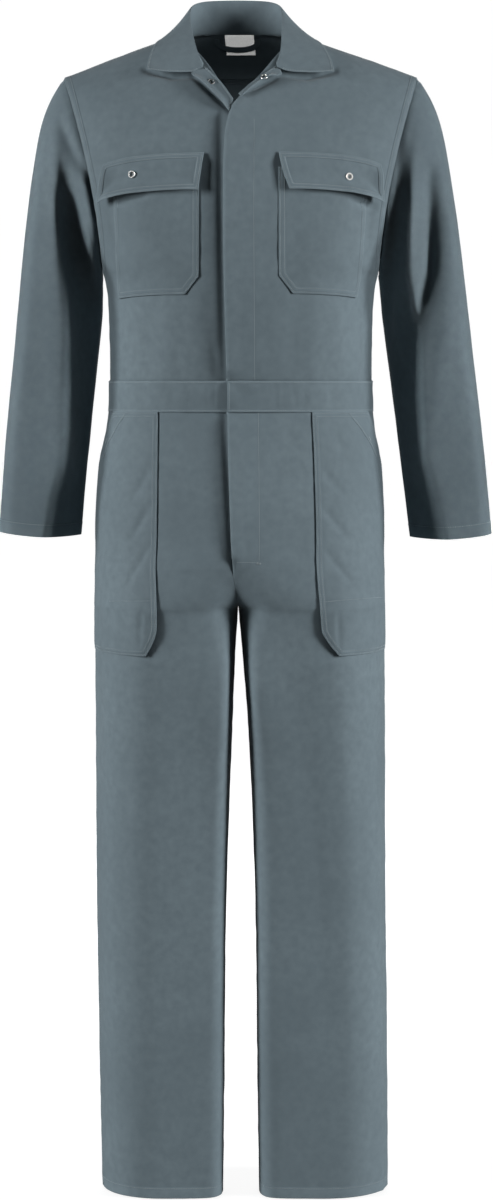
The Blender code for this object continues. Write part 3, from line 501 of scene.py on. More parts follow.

# %% [markdown]
# ## Folds
#
# Cloth that hangs keeps long soft folds: troughs run where it is pulled, and ridges where it is
# pushed. Noise alone would give folds that run anywhere, so every fold is listed one by one, and no two
# are alike. Each is a line seen from the front or from behind, with a half width and a depth in
# millimetres. Points near the line sink along their own direction, and a negative depth makes a
# ridge. Cloth also gives way under the edge of what lies on it, so the fronts sink a little under
# the collar, the lapels, the flaps and the fly, and those edges get a gap to shade.

# %% Folds in the sleeves
# ((points seen from the front: x, z), half width, depth), all in millimetres
RIGHT_SLEEVE_FOLDS = (
    (((-241, -196), (-235, -247), (-230, -309), (-221, -392), (-216, -475), (-216, -558),
      (-221, -647)), 13.8, 5.0),
    (((-260, -213), (-250, -295), (-244, -364), (-238, -475), (-237, -558), (-244, -620)), 8.3, -2.5),
    (((-216, -265), (-210, -302), (-206, -337)), 6.9, -5.0),
    (((-198, -268), (-197, -339)), 4.1, 3.0),
    (((-263, -650), (-241, -610)), 4.1, 1.8),
    (((-277, -669), (-252, -640)), 4.1, 1.2),
    (((-248, -122), (-232, -160), (-206, -200), (-196, -250)), 7.5, 6.0),
    (((-268, -196), (-233, -192)), 8.3, 2.0),
    (((-296, -406), (-277, -475), (-271, -571)), 16.6, 1.6),
)
LEFT_SLEEVE_FOLDS = (
    (((222, -150), (215, -217), (207, -291), (204, -335)), 7.5, 6.0),
    (((236, -178), (235, -240), (231, -309), (222, -364), (214, -430)), 8.0, -3.0),
    (((264, -190), (264, -262), (262, -325), (250, -372), (240, -425), (231, -480)), 9.0, 10.0),
    (((292, -250), (284, -406), (270, -502), (262, -578)), 11.0, -2.2),
    (((237, -610), (262, -662)), 4.1, 1.8),
    (((259, -607), (285, -658)), 4.1, 1.3),
    (((306, -392), (317, -544)), 16.6, 1.4),
)
# seen from behind, with x still towards the wearer's left
SLEEVE_BACK_FOLDS = (
    (((-292, -352), (-262, -378), (-226, -372)), 9.0, 2.2),
    (((-296, -392), (-262, -412), (-232, -430)), 8.0, 1.8),
    (((228, -366), (264, -380), (296, -356)), 9.0, 2.2),
    (((232, -424), (266, -414), (298, -398)), 8.0, 1.8),
    (((-262, -170), (-238, -250), (-236, -330)), 10.0, 1.8),
    (((262, -170), (240, -255), (240, -335)), 10.0, 1.8),
)
print("folds in the sleeves:", len(RIGHT_SLEEVE_FOLDS), len(LEFT_SLEEVE_FOLDS), len(SLEEVE_BACK_FOLDS))

# %% Folds in the body
BODY_FOLDS = (
    (((-125, -368), (-130, -472)), 17.9, 1.6),
    (((-67, -364), (-57, -472)), 15.2, -1.4),
    (((-164, -364), (-158, -468)), 12.4, 1.2),
    (((82, -364), (71, -472)), 16.6, 1.6),
    (((135, -364), (144, -472)), 15.2, -1.3),
    (((168, -364), (161, -469)), 12.4, 1.3),
    (((-136, -36), (-188, -94)), 12.4, 1.3),
    (((132, -36), (198, -99)), 12.4, 1.4),
    (((-183, -235), (-170, -295)), 5.5, 1.4),
    (((184, -213), (173, -295)), 5.5, 1.4),
    (((-37, -426), (-32, -473)), 5.5, 1.0),
    (((30, -433), (26, -473)), 5.5, -0.9),
    (((-89, -433), (-83, -473)), 6.9, 0.8),
)
# cloth that gives way under the edge of a collar, lapel or flap, and under the fly
UNDER_EDGES = (
    (((-131, -46), (-96, -54), (-56, -52)), 5.0, 8.0),
    (((129, -47), (92, -55), (60, -52)), 5.0, 8.0),
    (((-67, -51), (-14, -101)), 4.5, 6.5),
    (((54, -53), (10, -73)), 5.0, 6.0),
    (((-178, -230), (-132, -219)), 3.5, 4.5),
    (((153, -226), (184, -236)), 3.5, 4.5),
)
UNDER_FLY = (
    (((-27, -108), (-27, -226), (-26, -300), (-22, -474)), 6.0, 3.6),
    (((-22, -520), (-10, -735)), 6.0, 3.6),
)
WAISTBAND_FOLDS = (
    (((-96, -479), (-93, -515)), 4.1, 0.7),
    (((-70, -479), (-74, -515)), 3.4, 0.9),
    (((-49, -480), (-45, -515)), 3.4, 1.1),
    (((-37, -480), (-38, -515)), 2.8, 1.0),
    (((30, -479), (27, -515)), 3.4, 0.9),
    (((48, -479), (50, -515)), 2.8, 1.1),
    (((60, -479), (59, -515)), 2.8, 0.9),
    (((72, -479), (77, -515)), 3.4, 0.9),
    (((90, -479), (86, -515)), 4.1, 0.7),
    (((-135, -480), (-132, -515)), 5.5, 0.6),
    (((124, -480), (128, -515)), 5.5, 0.6),
)
# seen from behind, with x still towards the wearer's left
BACK_FOLDS = (
    (((-118, -205), (-112, -330), (-104, -468)), 13.0, 2.0),
    (((112, -210), (104, -340), (110, -470)), 13.0, 2.2),
    (((-46, -250), (-38, -360), (-42, -470)), 10.0, 1.6),
    (((44, -262), (50, -372), (44, -470)), 10.0, 1.5),
    (((-168, -190), (-140, -262), (-122, -330)), 9.0, 1.8),
    (((168, -186), (146, -250), (118, -330)), 9.0, 1.6),
    (((-150, -430), (-136, -476)), 7.0, 1.3),
    (((146, -425), (138, -476)), 7.0, 1.3),
    (((4, -420), (2, -476)), 7.0, 1.2),
    (((-76, -434), (-74, -476)), 6.0, 1.0),
    (((80, -430), (76, -476)), 6.0, 1.0),
)
print("folds in the body:", len(BODY_FOLDS), "in front,", len(BACK_FOLDS), "behind")

# %% Folds in the trousers
TROUSERS_FOLDS = (
    (((-56, -903), (-48, -1123), (-49, -1330)), 15.2, 2.4),
    (((-176, -889), (-177, -1192), (-173, -1468)), 12.4, -1.5),
    (((77, -903), (104, -1123), (124, -1413)), 16.6, 2.4),
    (((181, -889), (180, -1192), (179, -1468)), 12.4, -1.6),
    (((-104, -903), (-111, -1192), (-114, -1496)), 22.1, -1.2),
    (((144, -916), (154, -1192), (151, -1482)), 19.3, -1.0),
    (((-89, -537), (-61, -599)), 12.4, 1.2),
    (((77, -537), (49, -613)), 12.4, 1.2),
    (((9, -744), (30, -834)), 11.0, 1.2),
    (((-20, -758), (-37, -847)), 11.0, 1.2),
    (((-125, -599), (-150, -640)), 4.6, 1.7),
    (((-124, -647), (-152, -696)), 4.6, 1.7),
    (((-125, -702), (-158, -758)), 4.6, 1.7),
    (((-137, -795), (-140, -840)), 4.6, 1.3),
    (((-169, -544), (-183, -599)), 6.9, 1.2),
    (((112, -599), (140, -629)), 4.6, 1.7),
    (((115, -654), (146, -690)), 4.6, 1.7),
    (((118, -712), (151, -751)), 4.6, 1.7),
    (((135, -795), (137, -845)), 4.6, 1.3),
    (((168, -546), (184, -599)), 6.9, 1.2),
    (((129, -546), (144, -578)), 5.5, 1.0),
)
TROUSER_BACK_FOLDS = (
    (((-168, -742), (-112, -776), (-46, -796)), 11.0, 2.2),
    (((166, -748), (110, -782), (44, -800)), 11.0, 2.0),
    (((-120, -800), (-62, -834)), 8.0, 1.5),
    (((124, -808), (60, -838)), 8.0, 1.5),
    (((-160, -1064), (-106, -1084), (-58, -1074)), 9.0, 1.4),
    (((62, -1080), (110, -1094), (164, -1072)), 9.0, 1.4),
    (((-112, -860), (-108, -1180), (-116, -1500)), 18.0, 2.2),
    (((112, -860), (118, -1190), (114, -1500)), 18.0, 2.2),
    (((-20, -560), (-26, -640)), 8.0, 1.4),
    (((18, -560), (24, -645)), 8.0, 1.4),
)
print("folds in the trousers:", len(TROUSERS_FOLDS), "in front,", len(TROUSER_BACK_FOLDS), "behind")

# %% How deep the folds are
CAMERA_PLACE = (0.008, -4.5, -0.475)
EYE = Vector(CAMERA_PLACE)
FACING_GAIN = 2.5
TAPER = (0.08, 0.84)
TAPER_POWER = 0.6


def seen_at(co, from_behind):
    """Where points appear on the centre plane, as (x, z): from the eye, or straight from behind."""
    if from_behind:
        return co[:, (0, 2)]
    eye = np.array(EYE)
    share = eye[1] / (eye[1] - co[:, 1])
    return eye[[0, 2]] + (co[:, (0, 2)] - eye[[0, 2]]) * share[:, None]


def fold_depths(co, normals, folds, from_behind=False):
    """How far each point sinks for a table of folds, in metres."""
    depth = np.zeros(len(co))
    seen = seen_at(co, from_behind)
    facing = np.clip(normals[:, 1] * (FACING_GAIN if from_behind else -FACING_GAIN), 0.0, 1.0)
    for points, half_width, deep in folds:
        corners = np.array(points) * MILLIMETRE
        steps = np.linalg.norm(np.diff(corners, axis=0), axis=1)
        gone = np.concatenate([[0.0], np.cumsum(steps)])
        nearest = np.full(len(co), np.inf)
        at = np.zeros(len(co))
        for k, (start, end) in enumerate(zip(corners, corners[1:])):
            way = end - start
            share = np.clip(((seen - start) @ way) / (way @ way), 0.0, 1.0)
            away = np.linalg.norm(seen - start - share[:, None] * way, axis=1)
            closer = away < nearest
            nearest[closer] = away[closer]
            at[closer] = (gone[k] + share * steps[k])[closer] / gone[-1]
        taper = np.sin(np.pi * np.clip(TAPER[0] + TAPER[1] * at, 0, 1)) ** TAPER_POWER
        hollow = np.exp(-((nearest / (half_width * MILLIMETRE)) ** 2))
        depth += deep * MILLIMETRE * taper * hollow * facing
    return depth


print("folds are placed as seen from", CAMERA_PLACE)

# %% [markdown]
# ## Unevenness, puckers and raised edges
#
# No cloth lies quite flat. Slow noise makes it uneven and fine noise crumples it. Thread draws
# cloth in, so the cloth puckers beside each seam. A bump in the material could show all this, but
# it would leave the outline smooth, so the points themselves move. A lapped or turned edge that is
# sewn only elsewhere stands off what lies under it, which gives such edges their shadows.

# %% Unevenness
UNEVEN = 1.1 * MILLIMETRE
UNEVEN_LONG = (7.0, 7.0, 3.0)
CRUMPLE = 0.35 * MILLIMETRE
CRUMPLE_SCALE = 26.0
PUCKER = 0.55 * MILLIMETRE
PUCKER_SCALE = 85.0
PUCKER_REACH = 13.0
SLOW_SEED, FINE_SEED, PUCKER_SEED = 3.1, 8.7, 5.3


def noise_at(co, scales, seed):
    """Smooth noise from -1 to 1 at each point."""
    return np.array([noise.noise(Vector(row) + Vector((seed,) * 3)) for row in co * np.array(scales)])


def from_edges(panel, co, reach, where=lambda row: True):
    """A share for each point, from 0 at the panel's outline to 1 a reach in millimetres inside."""
    rim = [row["at"] for loop in panel.loops for row in loop if where(row)]
    if not rim:
        return np.ones(len(co))
    tree = KDTree(len(rim))
    for index, at in enumerate(rim):
        tree.insert(at, index)
    tree.balance()
    away = np.array([tree.find(Vector(point))[2] for point in co])
    share = np.clip(away / (reach * MILLIMETRE), 0.0, 1.0)
    return share * share * (3 - 2 * share)


def unevenness(panel, co):
    """How far each point sinks by chance."""
    slow = noise_at(co, UNEVEN_LONG, SLOW_SEED) * UNEVEN
    fine = noise_at(co, (CRUMPLE_SCALE,) * 3, FINE_SEED) * CRUMPLE
    by_seams = 1 - from_edges(panel, co, PUCKER_REACH)
    pucker = noise_at(co, (PUCKER_SCALE,) * 3, PUCKER_SEED) * PUCKER * by_seams
    return slow + fine + pucker


print("slow unevenness:", UNEVEN / MILLIMETRE, "mm")

# %% Raised edges
FLY_END = -0.722
CUFF_DOWN = -0.6
RAISED = (
    # panel, which of its outline points rise, rise and reach in millimetres
    ("front_left", lambda row: row["sewn_to"] == "front_right", 4.6, 24.0),
    ("waistband_left", lambda row: row["sewn_to"] == "waistband_right", 2.4, 20.0),
    ("trouser_front_left",
     lambda row: row["sewn_to"] == "trouser_front_right" and row["at"].z > FLY_END, 4.2, 22.0),
    ("pocket_flap_", lambda row: row["out"].z < 0.6, 1.2, 14.0),
    ("pocket_flap_", lambda row: row["out"].z < -0.6, 2.8, 18.0),
    ("pocket_flap_", lambda row: abs(row["at"].x) > 0.135 and row["out"].z < 0.6, 3.0, 26.0),
    ("lapel_", lambda row: row["out"].z < -0.3, 6.0, 12.0),
    ("hip_pocket_", lambda row: True, -1.3, 9.0),
    ("chest_pocket_", lambda row: True, -1.1, 9.0),
    ("sleeve_", lambda row: row["at"].z > CUFF_DOWN, -2.0, 8.0),
)
HELD_REACH = 16.0
BAG_PUFF = 1.5 * MILLIMETRE
BAG_REACH = 45.0


def rises(panel, co):
    """How far each point rises by a panel's raised edges, in metres."""
    rise = np.zeros(len(co))
    for start, lifted, high, reach in RAISED:
        if panel.name.startswith(start):
            near = 1 - from_edges(panel, co, reach, lifted)
            print(f"{panel.name}: {(near > 0.5).sum()} points by {high} mm")
            held = from_edges(panel, co, HELD_REACH, lambda row, lifted=lifted: not lifted(row))
            rise += high * MILLIMETRE * near * held
    if panel.name.startswith("chest_pocket"):
        rise += BAG_PUFF * from_edges(panel, co, BAG_REACH)
    return rise


print("raised edges:", len(RAISED))

# %% [markdown]
# ## How a sleeve bends
#
# An empty sleeve hangs half flat. Its outer part faces out and forward, and it turns back along a
# soft ridge in front, so its inner part faces the body and its inner edge swings back. Long folds
# alone would only groove the round sleeve of the frame. So at every height its front is moved from
# an oval to a bent line, whose ridge lies where a table says, and the bend fades out towards the
# armhole.

# %% Sleeve bend
# (height in metres, share of the way in)
RIDGE_LOW = (
    (-0.69, 0.56), (-0.63, 0.64), (-0.585, 0.74), (-0.54, 0.715), (-0.493, 0.68), (-0.449, 0.64)
)
RIDGE_AT = {
    "sleeve_right": RIDGE_LOW + ((-0.40, 0.62), (-0.355, 0.55), (-0.309, 0.47), (-0.254, 0.42)),
    "sleeve_left": RIDGE_LOW + ((-0.40, 0.61), (-0.355, 0.655), (-0.309, 0.68), (-0.254, 0.68)),
}
RIDGE_SHARP = 15.0
SWING = 0.62
BEND_STEP = 0.02
ARMHOLE_EASE = 65.0
# how the outer part rises from its edge: a quick share, how quick, and a steady share
OUTER_QUICK, OUTER_SOON, OUTER_STEADY = 0.72, 0.05, 0.42
FRONT_GAIN = 1.5
# (height in metres, share of the bend)
BEND_AT = ((-0.66, 0.75), (-0.56, 1.0), (-0.24, 1.0), (-0.10, 0.0))


def girth(co):
    """A tube's lowest and highest x, y and z near the height of each point."""
    heights = np.arange(co[:, 2].min(), co[:, 2].max() + BEND_STEP, BEND_STEP)
    lows, highs = [], []
    for height in heights:
        near = np.abs(co[:, 2] - height) <= BEND_STEP
        lows.append(co[near].min(axis=0))
        highs.append(co[near].max(axis=0))
    return tuple(
        np.stack([np.interp(co[:, 2], heights, np.array(rows)[:, axis]) for axis in range(3)], axis=1)
        for rows in (lows, highs)
    )


def ridge_sleeve(name, co):
    """How far each point of a sleeve moves in y for the bend, in metres."""
    low, high = girth(co)
    outer, inner = (high[:, 0], low[:, 0]) if name == "sleeve_left" else (low[:, 0], high[:, 0])
    across = np.clip((co[:, 0] - outer) / (inner - outer), 0.0, 1.0)
    middle, deep = (low[:, 1] + high[:, 1]) / 2, (high[:, 1] - low[:, 1]) / 2
    oval = 2 * np.sqrt(across * (1 - across))
    ridge = np.interp(co[:, 2], *zip(*RIDGE_AT[name]))
    past = (across - ridge) / (1 - ridge)
    outward = OUTER_QUICK * (1 - np.exp(-across / OUTER_SOON)) + OUTER_STEADY * across
    inward = 1.0 - (1.0 + SWING) * past
    # a soft least of the two, so the ridge is round
    bent = -np.log(np.exp(-RIDGE_SHARP * outward) + np.exp(-RIDGE_SHARP * inward)) / RIDGE_SHARP
    past = np.clip(past, 0.0, 1.0)
    swung = SWING * past * past * (3 - 2 * past)
    front = np.clip((middle - co[:, 1]) / deep * FRONT_GAIN, 0.0, 1.0)
    down = np.interp(co[:, 2], *zip(*BEND_AT))
    return deep * down * (swung * (1 - front) - (np.maximum(bent, -SWING) - oval) * front)


print("the ridge near the cuff is", RIDGE_LOW[0][1], "of the way in")

# %% [markdown]
# ## How a trouser leg is pressed
#
# A leg isn't as round as a tube. Pressing leaves its front flat up to a soft corner near the inner
# seam. Flattening the whole leg would narrow it, so only its inner half is moved out, from an oval
# to a squarer curve with a greater exponent. Where the leg leaves the body, that would leave a
# step, so the cloth is smoothed there, forward and back alone, which keeps the outline.

# %% Pressed legs
PRESSED = 6.0
# heights in metres: the pressing is whole at the first and gone at the second
PRESSED_BETWEEN = (-0.95, -0.74)
CROTCH = -0.79
CROTCH_REACH = 0.06
CROTCH_ROUNDS = 60


def press_leg(co, outer_sign):
    """How far each point of a trouser leg's front moves in y, in metres."""
    low, high = girth(co)
    share = np.interp(co[:, 2], PRESSED_BETWEEN, (1.0, 0.0))
    share = share * share * (3 - 2 * share)
    middle, half = (low[:, 0] + high[:, 0]) / 2, (high[:, 0] - low[:, 0]) / 2
    inward = np.clip(-(co[:, 0] - middle) / half * outer_sign, 0.0, 1.0)
    square = (1 - inward**PRESSED) ** (1 / PRESSED)
    return -(high[:, 1] - low[:, 1]) * share * (square - np.sqrt(1 - inward * inward))


def ease_crotch(mesh):
    """Smooths a trouser front, forward and back only, where the leg leaves the body."""
    near = [
        vert for vert in mesh.verts if abs(vert.co.z - CROTCH) < CROTCH_REACH and not vert.is_boundary
    ]
    for _ in range(CROTCH_ROUNDS):
        bmesh.ops.smooth_vert(mesh, verts=near, factor=0.5, use_axis_y=True)


print("pressed from an oval, exponent 2, to exponent", PRESSED)

# %% [markdown]
# ## Shaping
#
# Now each panel takes its own folds, raised edges and bends. A modifier could move the points, but
# it couldn't tell one edge from another. So the moves are added up as numbers, all points at once,
# and a smaller share of the unevenness goes to small stiff pieces. Lapels and label also run on
# upwards, to where the collar and the yoke hide their upper edges.

# %% Which folds each panel takes
FOLDED = {
    # panels' first letters: (folds seen from the front, folds seen from behind)
    "sleeve_right": (RIGHT_SLEEVE_FOLDS, SLEEVE_BACK_FOLDS),
    "sleeve_left": (LEFT_SLEEVE_FOLDS, SLEEVE_BACK_FOLDS),
    "front_": (BODY_FOLDS + UNDER_EDGES, ()), "chest_pocket_": (BODY_FOLDS + UNDER_EDGES, ()),
    "front_right": (UNDER_FLY, ()), "trouser_front_right": (UNDER_FLY, ()),
    "pocket_flap_": (BODY_FOLDS, ()), "back": ((), BACK_FOLDS), "waistband_": (WAISTBAND_FOLDS, ()),
    "trouser_front": (TROUSERS_FOLDS, ()), "hip_pocket": (TROUSERS_FOLDS, ()),
    "trouser_back": ((), TROUSER_BACK_FOLDS),
}
print("entries:", len(FOLDED))

# %% Shape the panels
CALMER = {"collar": 0.25, "lapel_left": 0.5, "lapel_right": 0.5, "hanger_loop": 0.3, "neck_label": 0.3}
# how much a piece is drawn out at its upper end, in millimetres
DRAWN_OUT = {"lapel_left": 4.0, "lapel_right": 4.0, "neck_label": 5.5}
DRAWN_FROM = 0.35


def drawn_out(co, most):
    """Moves the upper half of a narrow piece along its own length, under its neighbour."""
    height = (co[:, 2] - co[:, 2].min()) / np.ptp(co[:, 2])
    way = co[height > 0.8].mean(axis=0) - co[height < 0.2].mean(axis=0)
    share = np.clip((height - DRAWN_FROM) / (1 - DRAWN_FROM), 0.0, 1.0)
    return way / np.linalg.norm(way) * (share * most * MILLIMETRE)[:, None]


for name, panel in panels.items():
    co = np.array([vert.co for vert in panel.mesh.verts])
    normals = np.array([vert.normal for vert in panel.mesh.verts])
    sink = unevenness(panel, co) * CALMER.get(name, 1.0) - rises(panel, co)
    for start, (front_folds, back_folds) in FOLDED.items():
        if name.startswith(start):
            sink += fold_depths(co, normals, front_folds)
            sink += fold_depths(co, normals, back_folds, from_behind=True)
    shaped = co - normals * sink[:, None]
    if name.startswith("sleeve"):
        armhole = from_edges(panel, co, ARMHOLE_EASE, lambda row: row["at"].z > CUFF_DOWN)
        shaped[:, 1] += ridge_sleeve(name, co) * armhole
    if name in DRAWN_OUT:
        shaped += drawn_out(co, DRAWN_OUT[name])
    if name.startswith("trouser_front"):
        shaped[:, 1] += press_leg(co, 1 if name == "trouser_front_left" else -1)
    for vert, place in zip(panel.mesh.verts, shaped):
        vert.co = place
    if name.startswith("trouser_front"):
        ease_crotch(panel.mesh)
    panel.refresh()
    print(f"{name}: from {-sink.max() / MILLIMETRE:.1f} to {-sink.min() / MILLIMETRE:.1f} mm")

# %% [markdown]
# ## Lines on the cloth
#
# Every band, hem and row of stitches follows a line. A curve object could be such a line, but it
# wouldn't know which way the cloth lies. So a line here is a list of evenly spaced stations, each
# with its place, the way into the cloth and the way up. It comes from a stretch of a panel's
# outline, from points as seen from the front that are dropped on to a panel, or down a sleeve.
# Where an edge turns a corner, the line keeps a mitre, so that rows inside it meet there.

# %% Even lines
STATION_STEP = 4.0 * MILLIMETRE
CORNER_BEND = math.radians(28)


def unit(rows):
    """Rows of numbers, each scaled to length one."""
    return rows / np.linalg.norm(rows, axis=1, keepdims=True)


def corners_of(points, closed):
    """The numbers of the points where a broken line turns sharply."""
    ways = unit(np.roll(points, -1, axis=0) - points)
    bends = np.arccos(np.clip((ways * np.roll(ways, 1, axis=0)).sum(axis=1), -1.0, 1.0))
    ends = 0 if closed else 2
    return [k for k in range(ends, len(points) - ends) if bends[k] > CORNER_BEND]


def even_line(points, ins, ups, closed=False):
    """Stations at an even step along a broken line, with one at each corner."""
    points, ins, ups = (np.array([tuple(p) for p in rows]) for rows in (points, ins, ups))
    corners = corners_of(points, closed)
    if closed:
        count = len(points)
        # a closed line starts halfway between two corners, where no row has to turn
        if corners:
            afters = corners[1:] + [corners[0] + count]
            gap, start = max((after - k, k) for k, after in zip(corners, afters))
            turn = start + gap // 2
            points, ins, ups = (np.roll(rows, -turn, axis=0) for rows in (points, ins, ups))
            corners = sorted((k - turn) % count for k in corners)
        points, ins, ups = (np.concatenate([rows, rows[:1]]) for rows in (points, ins, ups))
    gone = np.concatenate([[0.0], np.cumsum(np.linalg.norm(np.diff(points, axis=0), axis=1))])
    at = np.linspace(0.0, gone[-1], max(2, round(gone[-1] / STATION_STEP) + 1))
    at = np.unique(np.concatenate([at, gone[corners]])) if corners else at
    # at a corner, the rows beside both edges meet on the mitre
    mitres = []
    for k in corners:
        before, after = unit(ins[[k - 2, min(k + 2, len(ins) - 1)]])
        mitre = (before + after) / (1 + before @ after)
        half = np.linalg.norm(before - after) / np.linalg.norm(before + after)
        mitres.append((gone[k], points[k], mitre, half, ups[k]))

    def spread(rows):
        return np.stack([np.interp(at, gone, rows[:, axis]) for axis in range(3)], axis=1)

    return {"at": spread(points), "in": unit(spread(ins)), "up": unit(spread(ups)), "gone": at,
            "mitres": mitres}


print("stations every", STATION_STEP / MILLIMETRE, "mm")

# %% Lines along outlines
def outline_part(rows, closed=False):
    """A line along a stretch of outline points."""
    return even_line(
        [row["at"] for row in rows], [-row["out"] for row in rows], [row["up"] for row in rows], closed
    )


def edge_lines(name, wanted):
    """The stretches of a panel's outline whose points pass a test."""
    found = []
    for loop in panels[name].loops:
        passed = [wanted(row) for row in loop]
        if all(passed):
            found.append(outline_part(loop, closed=True))
            continue
        count = len(loop)
        for start in (k for k in range(count) if passed[k] and not passed[k - 1]):
            rows, index = [loop[start - 1]], start
            while passed[index % count]:
                rows.append(loop[index % count])
                index += 1
            rows.append(loop[index % count])
            if len(rows) > 3:
                found.append(outline_part(rows))
    return found


cuff = edge_lines("sleeve_left", lambda row: row["sewn_to"] is None)
print("free edges of the left sleeve:", len(cuff), "with", len(cuff[0]["at"]), "stations")

# %% Lines as seen from the front, and down a sleeve
TUBE_LINE_TOP = -0.30


def seen_line(name, points, inward=(0, 0, -1)):
    """A line on a panel through points seen from the front: (x, z) in mm on the centre plane."""
    corners = np.array(points, float) * MILLIMETRE
    steps = np.linalg.norm(np.diff(corners, axis=0), axis=1)
    gone = np.concatenate([[0.0], np.cumsum(steps)])
    rows = []
    for at in np.linspace(0.0, gone[-1], max(2, round(gone[-1] / STATION_STEP) + 1)):
        x, z = (np.interp(at, gone, corners[:, axis]) for axis in range(2))
        hit, up = panels[name].tree.ray_cast(EYE, (Vector((x, 0.0, z)) - EYE).normalized())[:2]
        if hit is not None:
            rows.append((hit, Vector(inward), up))
    return even_line(*zip(*rows)) if len(rows) > 1 else None


def tube_line(name, way):
    """A line down a sleeve, where a horizontal direction from its middle leaves it."""
    panel = panels[name]
    co = np.array([vert.co for vert in panel.mesh.verts])
    rows = []
    for z in np.arange(co[:, 2].min() + STATION_STEP, TUBE_LINE_TOP, STATION_STEP):
        near = co[np.abs(co[:, 2] - z) < 0.01]
        middle = (near.max(axis=0) + near.min(axis=0)) / 2
        hit, up = panel.tree.ray_cast(Vector((middle[0], middle[1], z)), Vector(way))[:2]
        if hit is not None:
            rows.append((hit, Vector((0, 1, 0)), up))
    return even_line(*zip(*rows))


print("stations down the left sleeve:", len(tube_line("sleeve_left", (-1, 0, 0))["at"]))

# %% Laying a line on the cloth
def laid(panel, line, across, lift):
    """The points of a line moved into the cloth and lifted off it, and the way up at each."""
    points, ways = [], []
    for at, inward, up, gone in zip(line["at"], line["in"], line["up"], line["gone"]):
        place, up = Vector(at + inward * across), Vector(up)
        # stations close to a corner gather on its mitre, so that a row inside it doesn't cross itself
        for corner_gone, corner, mitre, half, corner_up in line["mitres"]:
            if abs(gone - corner_gone) <= max(across * half, 1e-7):
                place, up = Vector(corner + mitre * across), Vector(corner_up)
        # what lies inside the edge is pressed on to the cloth
        if across > 0:
            hit, way = panel.tree.find_nearest(place)[:2]
            if hit is not None and way.dot(up) > 0:
                place, up = hit, (up + way * 2).normalized()
        points.append(place + up * lift)
        ways.append(up)
    return points, ways


hem_points, _ = laid(panels["sleeve_left"], cuff[0], 16 * MILLIMETRE, 0.0)
print(f"16 mm inside the cuff's edge, the line has {len(hem_points)} points")

# %% [markdown]
# ## Bands
#
# A felled seam is the folded edge of one panel sewn flat on the other, and a hem is an edge folded
# twice. They could be pressed into the panels, but that would need far finer faces there. Both are
# a thin raised band along a line, so one function sweeps them all, from a profile of (across, lift,
# paleness). It dips under each row of stitches, and sinks back into the cloth at its inner side. Only
# the folded edge itself is painted pale: partly wear, and partly a painted highlight where it catches
# light.

# %% Felled seams and hems
def band_profile(width, rows, lift):
    """(across, lift, paleness), in millimetres: rolled edge, dips at the stitches, sunk inner edge;
    paleness is wear and a painted highlight.
    """
    profile = [(-0.50, -0.75, 0.1), (-0.72, -0.1, 0.9), (-0.45, lift * 0.8, 1.0), (0.35, lift, 0.3)]
    for row in rows:
        profile += [(row - 0.8, lift, 0.05), (row, lift - 0.28, 0.0), (row + 0.8, lift, 0.05)]
    profile += [(width, lift * 0.85, 0.1), (width + 0.6, lift * 0.25, 0.0), (width + 1.2, -0.35, 0.0)]
    return profile


def flat_profile(width, lift):
    """The same for a band that lies wholly on the cloth, such as a taped or lapped seam."""
    return [(-0.6, -0.3, 0.0), (0.0, lift * 0.8, 0.5), (0.6, lift, 0.1), (width - 0.6, lift, 0.1),
            (width, lift * 0.8, 0.5), (width + 0.6, -0.3, 0.0)]


def part_of(panel):
    """Which of the two groups of cloth a panel belongs to."""
    return "sleeves" if panel.name.startswith("sleeve") else "body"


def add_band(panel, line, profile):
    """Sweeps a profile along a line on a panel."""
    mesh = bands[part_of(panel)]
    # each ring keeps its profile's paleness: wear and a painted highlight on folded edges
    wear_and_highlight_layer = mesh.verts.layers.float.get("worn") or mesh.verts.layers.float.new("worn")
    rings = []
    for across, lift, worn in profile:
        points, _ = laid(panel, line, across * MILLIMETRE, lift * MILLIMETRE)
        ring = [mesh.verts.new(point) for point in points]
        for vert in ring:
            vert[wear_and_highlight_layer] = worn
        rings.append(ring)
    for inner, outer in zip(rings, rings[1:]):
        for k in range(len(inner) - 1):
            mesh.faces.new((inner[k], inner[k + 1], outer[k + 1], outer[k]))


bands = {"body": bmesh.new(), "sleeves": bmesh.new()}
print("profile points of a felled seam:", len(band_profile(8.0, (1.6, 7.0), 0.5)))

# %% [markdown]
# ## Stitches
#
# A lockstitch shows as a row of short grains of thread, with a small gap where the thread dives
# into the cloth. A line painted on the cloth would look flat from close by. Each stitch is a slim
# solid of eight faces instead, and all those of one group are in one mesh. A bar tack is the same
# stitch, shorter and closer, in a few rows side by side.

# %% Stitches
# in millimetres
STITCH_PITCH = 3.3
STITCH_LONG = 2.5
STITCH_THICK = 0.7
STITCH_ARCH = 0.4


